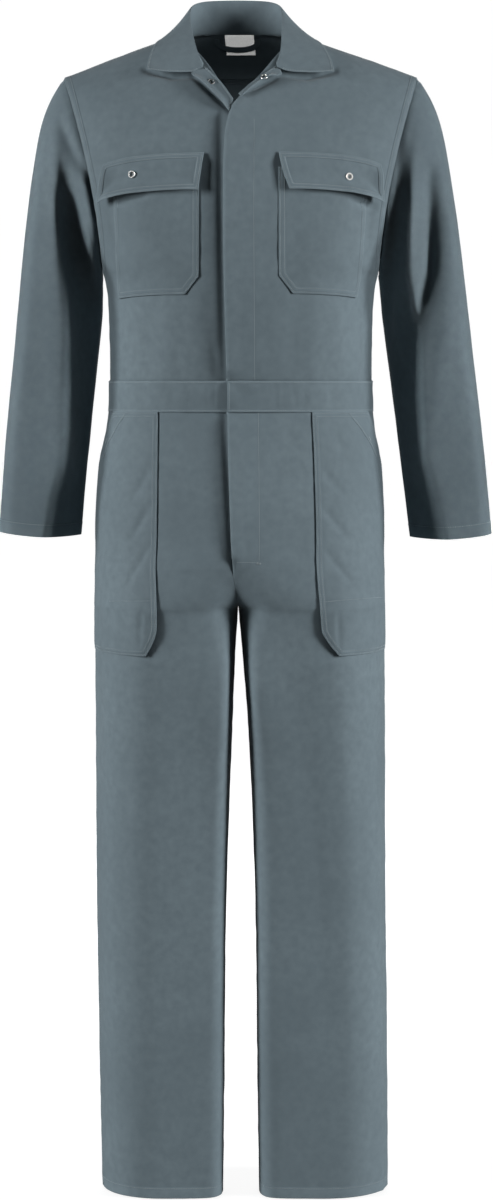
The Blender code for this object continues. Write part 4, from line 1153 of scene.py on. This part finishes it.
def add_stitches(panel, line, across, lift, pitch=STITCH_PITCH, long=STITCH_LONG):
    """A row of stitches: each a slim grain, fat in the middle, with its ends in the cloth."""
    mesh = stitches[part_of(panel)]
    points, ways = laid(panel, line, across * MILLIMETRE, lift * MILLIMETRE)
    points = np.array([tuple(p) for p in points])
    ways = np.array([tuple(w) for w in ways])
    steps = np.linalg.norm(np.diff(points, axis=0), axis=1)
    gone = np.concatenate([[0.0], np.cumsum(steps)])
    count = max(1, int(gone[-1] / (pitch * MILLIMETRE)))
    for number in range(count):
        middle_at = (number + 0.5) * pitch * MILLIMETRE
        ends = []
        for share in (-0.5, 0.0, 0.5):
            at = middle_at + share * long * MILLIMETRE
            ends.append(Vector([np.interp(at, gone, points[:, axis]) for axis in range(3)]))
        up = Vector([np.interp(middle_at, gone, ways[:, axis]) for axis in range(3)]).normalized()
        start, middle, end = ends
        side = (end - start).cross(up).normalized() * STITCH_THICK / 2 * MILLIMETRE
        rise = up * STITCH_THICK / 2 * MILLIMETRE
        middle = middle + rise * STITCH_ARCH
        tips = [mesh.verts.new(start - rise), mesh.verts.new(end - rise)]
        ring = [mesh.verts.new(middle + way) for way in (side, rise, -side, -rise)]
        for k in range(4):
            mesh.faces.new((ring[k], ring[(k + 1) % 4], tips[0]))
            mesh.faces.new((ring[(k + 1) % 4], ring[k], tips[1]))
    return count


stitches = {"body": bmesh.new(), "sleeves": bmesh.new()}
print("stitch pitch:", STITCH_PITCH, "mm")

# %% [markdown]
# ## Sewing
#
# The tables below are the sewing plan. Work clothes are sewn twice along each seam, so that they
# last. One table gives each seam between two panels: which panel folds over, how wide the fold is,
# and where its rows of stitches run. Another gives the free edges, which are hemmed or turned
# under. The others give lines that cross a panel, such as the stitching that holds the facing
# behind the fly, the slanted mouths of the hip pockets and the bar tacks. Tables are easier to
# check against a real suit than a call for each seam.

# %% Sew the seams
SEAM_LIFT = 0.45
EDGE_LIFT = 0.15
EDGE_WIDTH = 2.4
THREAD_SINK = 0.05
SEAMS = (
    # top panel, panel under it, band width, rows of stitches from the edge
    ("back_yoke", "front_left", 8.0, (1.6, 7.0)),
    ("back_yoke", "front_right", 8.0, (1.6, 7.0)),
    ("back_yoke", "back", 8.0, (1.6, 7.0)),
    ("front_left", "back", 8.0, (1.6, 7.0)),
    ("front_right", "back", 8.0, (1.6, 7.0)),
    ("front_left", "sleeve_left", 8.5, (1.6, 7.4)),
    ("front_right", "sleeve_right", 8.5, (1.6, 7.4)),
    ("back", "sleeve_left", 8.5, (1.6, 7.4)),
    ("back", "sleeve_right", 8.5, (1.6, 7.4)),
    ("back_yoke", "sleeve_left", 8.5, (1.6, 7.4)),
    ("back_yoke", "sleeve_right", 8.5, (1.6, 7.4)),
    ("trouser_front_left", "trouser_back_left", 8.0, (1.6, 7.0)),
    ("trouser_front_right", "trouser_back_right", 8.0, (1.6, 7.0)),
    ("trouser_back_left", "trouser_back_right", 8.0, (1.6, 7.0)),
)
EDGE_ROWS = (
    # panel, panel it is sewn to, rows of stitches from the edge
    ("waistband_left", "front_left", (1.6,)),
    ("waistband_right", "front_right", (1.6,)),
    ("waistband_back", "back", (1.6,)),
    ("waistband_left", "trouser_front_left", (1.6,)),
    ("waistband_right", "trouser_front_right", (1.6,)),
    ("waistband_back", "trouser_back_left", (1.6,)),
    ("waistband_back", "trouser_back_right", (1.6,)),
    ("waistband_left", "waistband_right", (2.0,)),
    ("front_left", "front_right", ()),
    ("trouser_front_left", "trouser_front_right", ()),
)
sewn = 0
for top, under, width, rows in SEAMS:
    for line in edge_lines(top, lambda row: row["sewn_to"] == under):
        add_band(panels[top], line, band_profile(width, rows, SEAM_LIFT))
        for row in rows:
            sewn += add_stitches(panels[top], line, row, SEAM_LIFT - THREAD_SINK)
for top, under, rows in EDGE_ROWS:
    for line in edge_lines(top, lambda row: row["sewn_to"] == under):
        add_band(panels[top], line, band_profile(EDGE_WIDTH, (), EDGE_LIFT))
        for row in rows:
            sewn += add_stitches(panels[top], line, row, EDGE_LIFT)
print("seam stitches:", sewn)

# %% Edges that the collar hides
# the collar's points are told apart as 0, hidden along the neck seam and the stand, and 1, in sight
LAPEL_TOP_OUT = 0.6
FALL_FROM = 6
neck_edge = KDTree(2 * (len(COLLAR_CUTS) + FALL_FROM))
for k, cut in enumerate(COLLAR_CUTS):
    neck_edge.insert(Vector(cut[0]) * MILLIMETRE, 0)
    neck_edge.insert(Vector(cut[-1]) * MILLIMETRE, 1)
for cut in (COLLAR_CUTS[0], COLLAR_CUTS[-1]):
    for k in range(1, FALL_FROM + 1):
        neck_edge.insert(Vector(cut[k]) * MILLIMETRE, 0 if k < FALL_FROM else 1)
neck_edge.balance()


def is_hidden(panel, row):
    """True where an edge lies under the collar: the lapels' tops and the neck seam."""
    if panel.name == "collar":
        return neck_edge.find(row["at"])[1] == 0
    side = {"lapel_left": 1, "lapel_right": -1}.get(panel.name, 0)
    return row["out"].x * side > LAPEL_TOP_OUT and row["out"].z > 0.0


for name, panel in panels.items():
    for loop in panel.loops:
        for row in loop:
            row["hidden"] = is_hidden(panel, row)
hidden_count = sum(row["hidden"] for panel in panels.values() for loop in panel.loops for row in loop)
print("hidden edge points:", hidden_count)

# %% Sew the free edges
TURNED_LIFT = 0.3
FREE_EDGES = (
    # panel, band width, rows of stitches from the edge
    ("sleeve_left", 17.0, (16.0,)), ("sleeve_right", 17.0, (16.0,)),
    ("trouser_front_left", 14.0, (13.0,)), ("trouser_front_right", 14.0, (13.0,)),
    ("trouser_back_left", 14.0, (13.0,)), ("trouser_back_right", 14.0, (13.0,)),
    ("chest_pocket_left", 8.0, (1.8, 7.0)), ("chest_pocket_right", 8.0, (1.8, 7.0)),
    ("pocket_flap_left", 7.0, (1.8, 6.2)), ("pocket_flap_right", 7.0, (1.8, 6.2)),
    ("hip_pocket_left", 7.0, (1.6, 6.0)), ("hip_pocket_right", 7.0, (1.6, 6.0)),
    ("collar", 3.0, (1.5,)), ("lapel_left", 3.0, (1.5,)), ("lapel_right", 3.0, (1.5,)),
)
for name, width, rows in FREE_EDGES:
    for line in edge_lines(name, lambda row: row["sewn_to"] is None and not row["hidden"]):
        add_band(panels[name], line, band_profile(width, rows, TURNED_LIFT))
        for row in rows:
            sewn += add_stitches(panels[name], line, row, TURNED_LIFT - THREAD_SINK)
print("stitches with the free edges:", sewn)

# %% Sew lines across panels
ACROSS = (
    # panel, points seen from the front (x, z) in mm, and the lift of the stitches
    ("front_left", ((18.6, -114.5), (17.9, -226.3), (18.6, -364.3), (19.3, -474.7)), 0.1),
    ("trouser_front_left", ((24.2, -520.3), (25.4, -612.7), (25.9, -706.6), (25.2, -725.9)), 0.1),
    ("trouser_front_left", ((-5.5, -726.6), (26.2, -726.6)), 0.1),
    ("hip_pocket_right", ((-181.5, -779.7), (-148.3, -779.7), (-115.2, -779.7)), 0.1),
    ("hip_pocket_left", ((112.5, -781.1), (151.1, -777.6), (196.6, -774.2)), 0.1),
    ("back_yoke", ((-29.7, -66.9), (-17.2, -65.4), (-3.4, -64.9), (15.9, -66.9)), -1.15),
    ("back", ((-29.7, -66.9), (-17.2, -65.4), (-3.4, -64.9), (15.9, -66.9)), -1.15),
)
for name, points, lift in ACROSS:
    line = seen_line(name, points)
    if line is not None:
        sewn += add_stitches(panels[name], line, 0.0, lift)
print("stitches with the lines across:", sewn)

# %% Sew the pocket mouths and the bar tacks
MOUTHS = (
    # panel, the slanted mouth of its pocket seen from the front, and the way in
    ("hip_pocket_right",
     ((-159.4, -519.6), (-171.8, -538.2), (-183.5, -561.7), (-189.7, -582.4)), (1, 0, 0)),
    ("hip_pocket_left",
     ((152.5, -521.6), (166.3, -539.6), (180.1, -561.7), (188.4, -582.4)), (-1, 0, 0)),
)
MOUTH_WIDTH, MOUTH_LIFT, MOUTH_ROWS = 7.0, 0.5, (1.8, 5.6)
TACKS = (
    # panel, a short bar of close stitches seen from the front
    ("trouser_front_right", ((-15.8, -523.0), (-9.0, -523.0))),
    ("trouser_front_left", ((147.0, -522.4), (152.5, -522.4))),
    ("trouser_front_left", ((21.8, -727.9), (28.6, -727.9))),
    ("hip_pocket_right", ((-184.2, -554.8), (-187.0, -561.7))),
    ("hip_pocket_left", ((176.6, -552.0), (179.4, -557.5))),
)
TACK_PITCH, TACK_LONG, TACK_ROWS = 1.2, 1.6, (0.0, 0.45, 0.9)
for name, points, inward in MOUTHS:
    line = seen_line(name, points, inward)
    if line is not None:
        add_band(panels[name], line, flat_profile(MOUTH_WIDTH, MOUTH_LIFT))
        for row in MOUTH_ROWS:
            sewn += add_stitches(panels[name], line, row, MOUTH_LIFT)
for name, points in TACKS:
    line = seen_line(name, points)
    if line is not None:
        for row in TACK_ROWS:
            sewn += add_stitches(panels[name], line, row, EDGE_LIFT, pitch=TACK_PITCH, long=TACK_LONG)
print("stitches with mouths and tacks:", sewn)

# %% Sew the sleeves' long seams
UNDERARM = {"sleeve_left": (-0.8, 0.6, 0), "sleeve_right": (0.8, 0.6, 0)}
UNDERARM_WIDTH, UNDERARM_ROWS = 8.0, (1.6, 6.4)
for name, way in UNDERARM.items():
    line = tube_line(name, way)
    add_band(panels[name], line, flat_profile(UNDERARM_WIDTH, SEAM_LIFT))
    for row in UNDERARM_ROWS:
        sewn += add_stitches(panels[name], line, row, SEAM_LIFT - THREAD_SINK)
for mesh in bands.values():
    bmesh.ops.remove_doubles(mesh, verts=mesh.verts, dist=SAME_PLACE)
print("all stitches:", sewn, "band faces:", sum(len(mesh.faces) for mesh in bands.values()))

# %% [markdown]
# ## Close the seams
#
# The frame leaves a fine gap along each seam, and light would show through it. Joining the panels
# into one mesh would close it, but each piece should stay its own. So the lower panel runs on under
# the upper one, the lapels run on under the collar, and every other edge rolls over, as folded
# cloth does.

# %% Tucked and rolled edges
# (out, lift) of two rings, in millimetres
TUCKED = ((1.2, -0.9), (4.5, -3.4))
ROLLED = ((0.45, -0.2), (0.55, -0.8))
LAPEL_RUN_ON = ((2.0, -0.2), (4.0, -0.6))


def rings_out(panel, row):
    """How the cloth runs on past one outline point."""
    other = row["sewn_to"]
    if row["hidden"] and panel.name != "collar":
        return LAPEL_RUN_ON
    if other is not None and RANK[other] > RANK.get(panel.name, 0):
        return TUCKED
    return ROLLED


def close_edges(panel):
    """Adds two rings of faces round a panel's outline."""
    for loop in panel.loops:
        rings = [[row["vert"] for row in loop]]
        for ring_number in range(2):
            ring = []
            for row in loop:
                out, lift = (MILLIMETRE * part for part in rings_out(panel, row)[ring_number])
                ring.append(panel.mesh.verts.new(row["at"] + row["out"] * out + row["up"] * lift))
            rings.append(ring)
        for inner, outer in zip(rings, rings[1:]):
            for k in range(len(loop)):
                after = (k + 1) % len(loop)
                corners = (inner[k], inner[after], outer[after], outer[k])
                # a new face runs its shared edge the other way from the face beside it
                edge = panel.mesh.edges.get((inner[k], inner[after]))
                if edge is not None and edge.link_loops and edge.link_loops[0].vert == inner[k]:
                    corners = corners[::-1]
                panel.mesh.faces.new(corners)


for panel in panels.values():
    close_edges(panel)
print("edges closed:", sum(len(panel.loops) for panel in panels.values()))

# %% [markdown]
# ## Cloth
#
# Twill of this weight is a little under a millimetre thick. An inner side could be modelled face by
# face, but a Solidify modifier makes it from the sheet. So each panel becomes a piece with the
# cloth's real thickness, which takes the place of its wall in the frame. The bands and the stitches
# become pieces of their own, one pair for the body and one for the sleeves.

# %% Cloth helpers
CLOTH_THICKNESS = 0.9 * MILLIMETRE


def show(name, mesh, material):
    """Puts a mesh in the scene as a piece that goes with the suit."""
    piece = bpy.data.objects.new(name, mesh)
    bpy.context.scene.collection.objects.link(piece)
    mesh.materials.clear()
    mesh.materials.append(material)
    mesh.shade_smooth()
    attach(piece, "root")
    return piece


def show_bmesh(name, bm, material, slot="twill"):
    """The same for a mesh that is still open for editing."""
    made = bpy.data.meshes.new(name)
    bm.to_mesh(made)
    bm.free()
    return show(name, made, material)


print("cloth is", CLOTH_THICKNESS / MILLIMETRE, "mm thick")

# %% Cloth on the panels
pieces = {}
for name, panel in panels.items():
    finish = (tape, "label_cloth") if name == "neck_label" else (cloth, "twill")
    piece = show_bmesh(name + "_cloth", panel.mesh, *finish)
    thick = piece.modifiers.new("thickness", "SOLIDIFY")
    thick.thickness = CLOTH_THICKNESS
    thick.offset = -1.0
    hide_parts(name)
    pieces[name] = piece
for part in bands:
    pieces[part + "_bands"] = show_bmesh(part + "_bands", bands[part], cloth)
    pieces[part + "_stitches"] = show_bmesh(part + "_stitches", stitches[part], thread)
print("pieces of cloth:", len(pieces))

# %% [markdown]
# ## Snaps
#
# Each snap shows a plated ring with a dark round socket inside it. The rings are rigid and have the
# right shape in the frame, so they stay and get a better metal. The socket could be a dark disc, but
# a real one is hollow and catches the light on its lip. So it is a shallow dish, turned from a short
# profile and set on the cloth inside the ring.

# %% A socket's dish
# (away from the middle, lift), in millimetres, for the largest ring that it fits
SOCKET_PROFILE = ((3.0, 0.0), (2.5, 0.5), (1.7, 0.35), (1.2, -0.2), (0.0, -0.3))
SOCKET_SIDES = 24
RING_INSIDE = 3.4


def socket_dish(at, up, ring_radius):
    """A dish on the cloth at a place, no wider than its ring allows."""
    side = up.orthogonal().normalized()
    other = up.cross(side)
    dish = bmesh.new()
    rings = []
    for away, lift in SOCKET_PROFILE:
        away = min(away * MILLIMETRE, ring_radius * away / RING_INSIDE)
        ring = []
        for k in range(SOCKET_SIDES if away else 1):
            turn = 2 * math.pi * k / SOCKET_SIDES
            way = side * math.cos(turn) + other * math.sin(turn)
            ring.append(dish.verts.new(at + way * away + up * lift * MILLIMETRE))
        rings.append(ring)
    for outer, inner in zip(rings, rings[1:]):
        for k in range(SOCKET_SIDES):
            after = (k + 1) % SOCKET_SIDES
            if len(inner) > 1:
                dish.faces.new((outer[k], outer[after], inner[after], inner[k]))
            else:
                dish.faces.new((outer[k], outer[after], inner[0]))
    return dish


print("a socket has", len(SOCKET_PROFILE) - 1, "rings of", SOCKET_SIDES, "sides")

# %% Snaps on the flaps and lapels
for name, solid in frame["nodes"].items():
    if "snap" not in name:
        continue
    solid.data.materials.clear()
    solid.data.materials.append(metal)
    low, high = (Vector(corner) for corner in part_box(name))
    radius = max(high.x - low.x, high.z - low.z) / 2
    host = panels[name.replace("flap_snap", "pocket_flap").replace("lapel_snap", "lapel")]
    at, up = host.tree.find_nearest((low + high) / 2)[:2]
    dish = socket_dish(at, up, radius)
    pieces[name] = solid
    pieces[name + "_socket"] = show_bmesh(name + "_socket", dish, socket_metal, "snap_metal")
    print(f"{name}: ring {radius * 2 / MILLIMETRE:.1f} mm across")

# %% [markdown]
# ## The cut of each piece
# Cloth comes flat, so each piece has a flat size that it was cut to. A guess from its box would be
# too small, because a sleeve or a leg goes round. The sizes below are measured along the cloth, all
# the way round, and so are the areas. The table gives each piece its cut, how it is held and what it
# lies on or hangs from, and the areas are added up.

# %% Sheets
CUTS = {
    # panel: (width, length and area of the cut, in metres, how it is held, what it rests on)
    "back": (0.49, 0.44, 0.197, "hung", ("back_yoke",)),
    "back_yoke": (0.50, 0.12, 0.043, "draped", ("back", "front_left", "front_right")),
    "chest_pocket_left": (0.14, 0.18, 0.0226, "laid", ("front_left",)),
    "chest_pocket_right": (0.14, 0.18, 0.0226, "laid", ("front_right",)),
    "collar": (0.50, 0.10, 0.044, "folded", ("back_yoke", "front_left", "front_right")),
    "front_left": (0.29, 0.55, 0.126, "hung", ("back_yoke",)),
    "front_right": (0.29, 0.55, 0.126, "hung", ("back_yoke",)),
    "hanger_loop": (0.01, 0.085, 0.00064, "hung", ("back_yoke",)),
    "hip_pocket_left": (0.185, 0.335, 0.0539, "laid", ("trouser_front_left", "trouser_back_left")),
    "hip_pocket_right": (0.185, 0.335, 0.0514, "laid", ("trouser_front_right", "trouser_back_right")),
    "lapel_left": (0.028, 0.065, 0.001, "folded", ("front_left",)),
    "lapel_right": (0.032, 0.09, 0.0019, "folded", ("front_right",)),
    "neck_label": (0.042, 0.031, 0.0013, "hung", ("back_yoke",)),
    "pocket_flap_left": (0.148, 0.056, 0.0078, "laid", ("chest_pocket_left", "front_left")),
    "pocket_flap_right": (0.148, 0.056, 0.0078, "laid", ("chest_pocket_right", "front_right")),
    "sleeve_left": (0.437, 0.66, 0.213, "hung", ("front_left", "back", "back_yoke")),
    "sleeve_right": (0.437, 0.66, 0.213, "hung", ("front_right", "back", "back_yoke")),
    "trouser_back_left": (0.385, 1.105, 0.3135, "hung", ("waistband_back",)),
    "trouser_back_right": (0.385, 1.105, 0.3135, "hung", ("waistband_back",)),
    "trouser_front_left": (0.39, 1.10, 0.308, "hung", ("waistband_left",)),
    "trouser_front_right": (0.39, 1.10, 0.308, "hung", ("waistband_right",)),
    "waistband_back": (0.49, 0.048, 0.021, "hung", ("back",)),
    "waistband_left": (0.265, 0.045, 0.0113, "hung", ("front_left",)),
    "waistband_right": (0.265, 0.045, 0.0113, "hung", ("front_right",)),
}
for name, (width, length, area, held, under) in CUTS.items():
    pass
cloth_area = sum(area for _, _, area, _, _ in CUTS.values())
print(f"sheets: {len(CUTS)}, {cloth_area:.2f} square metres in all")

# %% [markdown]
# ## Studio
#
# The suit is shown over a plain pale floor in a white room, between tall soft lights that stand
# well to its sides. Lights in front would be simpler, but they would flatten the cloth: light from
# the sides keeps the turned-in halves of the sleeves dark, and gives each raised edge a shadow. The
# floor and the room glow for the camera alone, so they look white and yet don't fill the shadows.
#
# Some of the lights are linked, which means that they light the pieces of one group only. The
# sleeves and the body have boxes of their own, and the sleeves don't block the body's, so they cast
# no dark band down its sides. A weak lamp lifts the legs, and two small ones reach into the neck,
# for the label and for the inside of the back.

# %% Floor
FLOOR_DOWN = -1.5915
FLOOR_RADIUS = 40.0
# the floor is a little darker near this place, and white from the second distance on, in metres
STANDING_PLACE = (0.0, -1.0, FLOOR_DOWN)
GLOW = {"From Min": 1.0, "From Max": 4.0, "To Min": 0.88, "To Max": 1.0}
floor_mesh = bpy.data.meshes.new("floor")
disc = bmesh.new()
bmesh.ops.create_circle(disc, cap_ends=True, segments=96, radius=FLOOR_RADIUS)
for vert in disc.verts:
    vert.co.z = FLOOR_DOWN
disc.to_mesh(floor_mesh)
disc.free()
paper, paper_tree, paper_shader = new_material(
    "paper", 0.9, Base_Color=(0.25, 0.25, 0.25, 1), Emission_Color=(1, 1, 1, 1)
)
place = node(paper_tree, "TexCoord").outputs["Object"]
away = node(paper_tree, "VectorMath", {0: place, 1: STANDING_PLACE}, operation="DISTANCE").outputs
glow = node(
    paper_tree, "MapRange", {"Value": away["Value"], **GLOW}, interpolation_type="SMOOTHSTEP"
)
looked_at = node(paper_tree, "LightPath").outputs["Is Camera Ray"]
shown = node(paper_tree, "Math", {0: glow.outputs["Result"], 1: looked_at}, operation="MULTIPLY")
paper_tree.links.new(shown.outputs[0], paper_shader.inputs["Emission Strength"])
floor_mesh.materials.append(paper)
floor = bpy.data.objects.new("floor", floor_mesh)
bpy.context.scene.collection.objects.link(floor)
print("floor at", FLOOR_DOWN)

# %% Soft lights
SUIT_MIDDLE = Vector((0, 0, -0.7))


def soft_light(name, azimuth, away, height, size, power, lit=(), blocked_by=()):
    """A rectangular soft light that looks at the suit. Azimuth 0 is in front, 90 at its left.

    It lights the pieces in lit and is blocked by those in blocked_by, or by all where these are empty.
    """
    lamp = bpy.data.lights.new(name, "AREA")
    lamp.shape = "RECTANGLE"
    lamp.size, lamp.size_y = size
    lamp.energy = power
    holder = bpy.data.objects.new(name, lamp)
    turn = math.radians(azimuth)
    holder.location = (math.sin(turn) * away, -math.cos(turn) * away, height)
    holder.rotation_euler = (SUIT_MIDDLE - holder.location).to_track_quat("-Z", "Y").to_euler()
    bpy.context.scene.collection.objects.link(holder)
    for use, names in (("receiver_collection", lit), ("blocker_collection", blocked_by)):
        if names:
            group = bpy.data.collections.new(f"{name}_{use}")
            for piece in names:
                group.objects.link(pieces[piece])
            setattr(holder.light_linking, use, group)


SLEEVES = tuple(name for name in pieces if name.startswith("sleeve"))
BODY = tuple(name for name in pieces if name not in SLEEVES)
LEGS = tuple(name for name in BODY if name.startswith(("trouser", "body")))
BOX = (7.0, 0.9, (1.75, 3.4))
LIGHTS = (
    # name, azimuth, distance, height, (width, height), power, what it lights, what blocks it
    ("right_box", -70, *BOX, 350),
    ("left_box", 70, *BOX, 370),
    ("sleeve_right_box", -70, *BOX, 300, SLEEVES),
    ("sleeve_left_box", 70, *BOX, 290, SLEEVES),
    ("body_right_box", -70, *BOX, 345, BODY, BODY),
    ("body_left_box", 70, *BOX, 420, BODY, BODY),
    ("leg_front", 0, 5.0, -1.3, (2.0, 1.0), 8, LEGS),
    ("label_lamp", 0, 3.0, 0.6, (0.3, 0.2), 50, ("neck_label",)),
    ("inside_lamp", 0, 3.0, 0.3, (0.3, 0.3), 4.5, ("back_yoke", "hanger_loop", "collar")),
    ("back_box", 180, 4.5, 0.6, (3.0, 2.0), 90),
)
for light in LIGHTS:
    soft_light(*light)
print("lights:", len(LIGHTS))

# %% Room
ROOM_SHOWN = 1.0
ROOM_LIGHT = 0.005
world = bpy.data.worlds.new("room")
world.use_nodes = True
sky = world.node_tree
seen = node(sky, "LightPath").outputs["Is Camera Ray"]
strength = node(
    sky, "Math", {0: seen, 1: ROOM_SHOWN, 2: ROOM_LIGHT}, operation="MULTIPLY_ADD"
).outputs[0]
sky.nodes["Background"].inputs["Color"].default_value = (1, 1, 1, 1)
sky.links.new(strength, sky.nodes["Background"].inputs["Strength"])
bpy.context.scene.world = world
bpy.context.scene.view_settings.view_transform = "Standard"
print("the room lights the suit with a strength of", ROOM_LIGHT)

# %% [markdown]
# ## Camera
#
# The suit is seen from straight in front, at the height of its waist. Tilting a camera down to show
# all of it would make its upright lines lean. So the camera stays level, and the view is moved down
# with the lens's shift, as a studio camera does.

# %% Camera
_, CAMERA_Y, CAMERA_Z = CAMERA_PLACE
VIEW_TALL = 1.656
VIEW_CENTRE = -0.7783
lens = bpy.data.cameras.new("camera")
lens.sensor_fit = "AUTO"
lens.sensor_width = 36.0
lens.lens = lens.sensor_width * -CAMERA_Y / VIEW_TALL
lens.shift_y = (VIEW_CENTRE - CAMERA_Z) / VIEW_TALL
camera = bpy.data.objects.new("camera", lens)
camera.location = CAMERA_PLACE
camera.rotation_euler = (math.pi / 2, 0, 0)
bpy.context.scene.collection.objects.link(camera)
bpy.context.scene.camera = camera
print(f"lens: {lens.lens:.0f} mm")
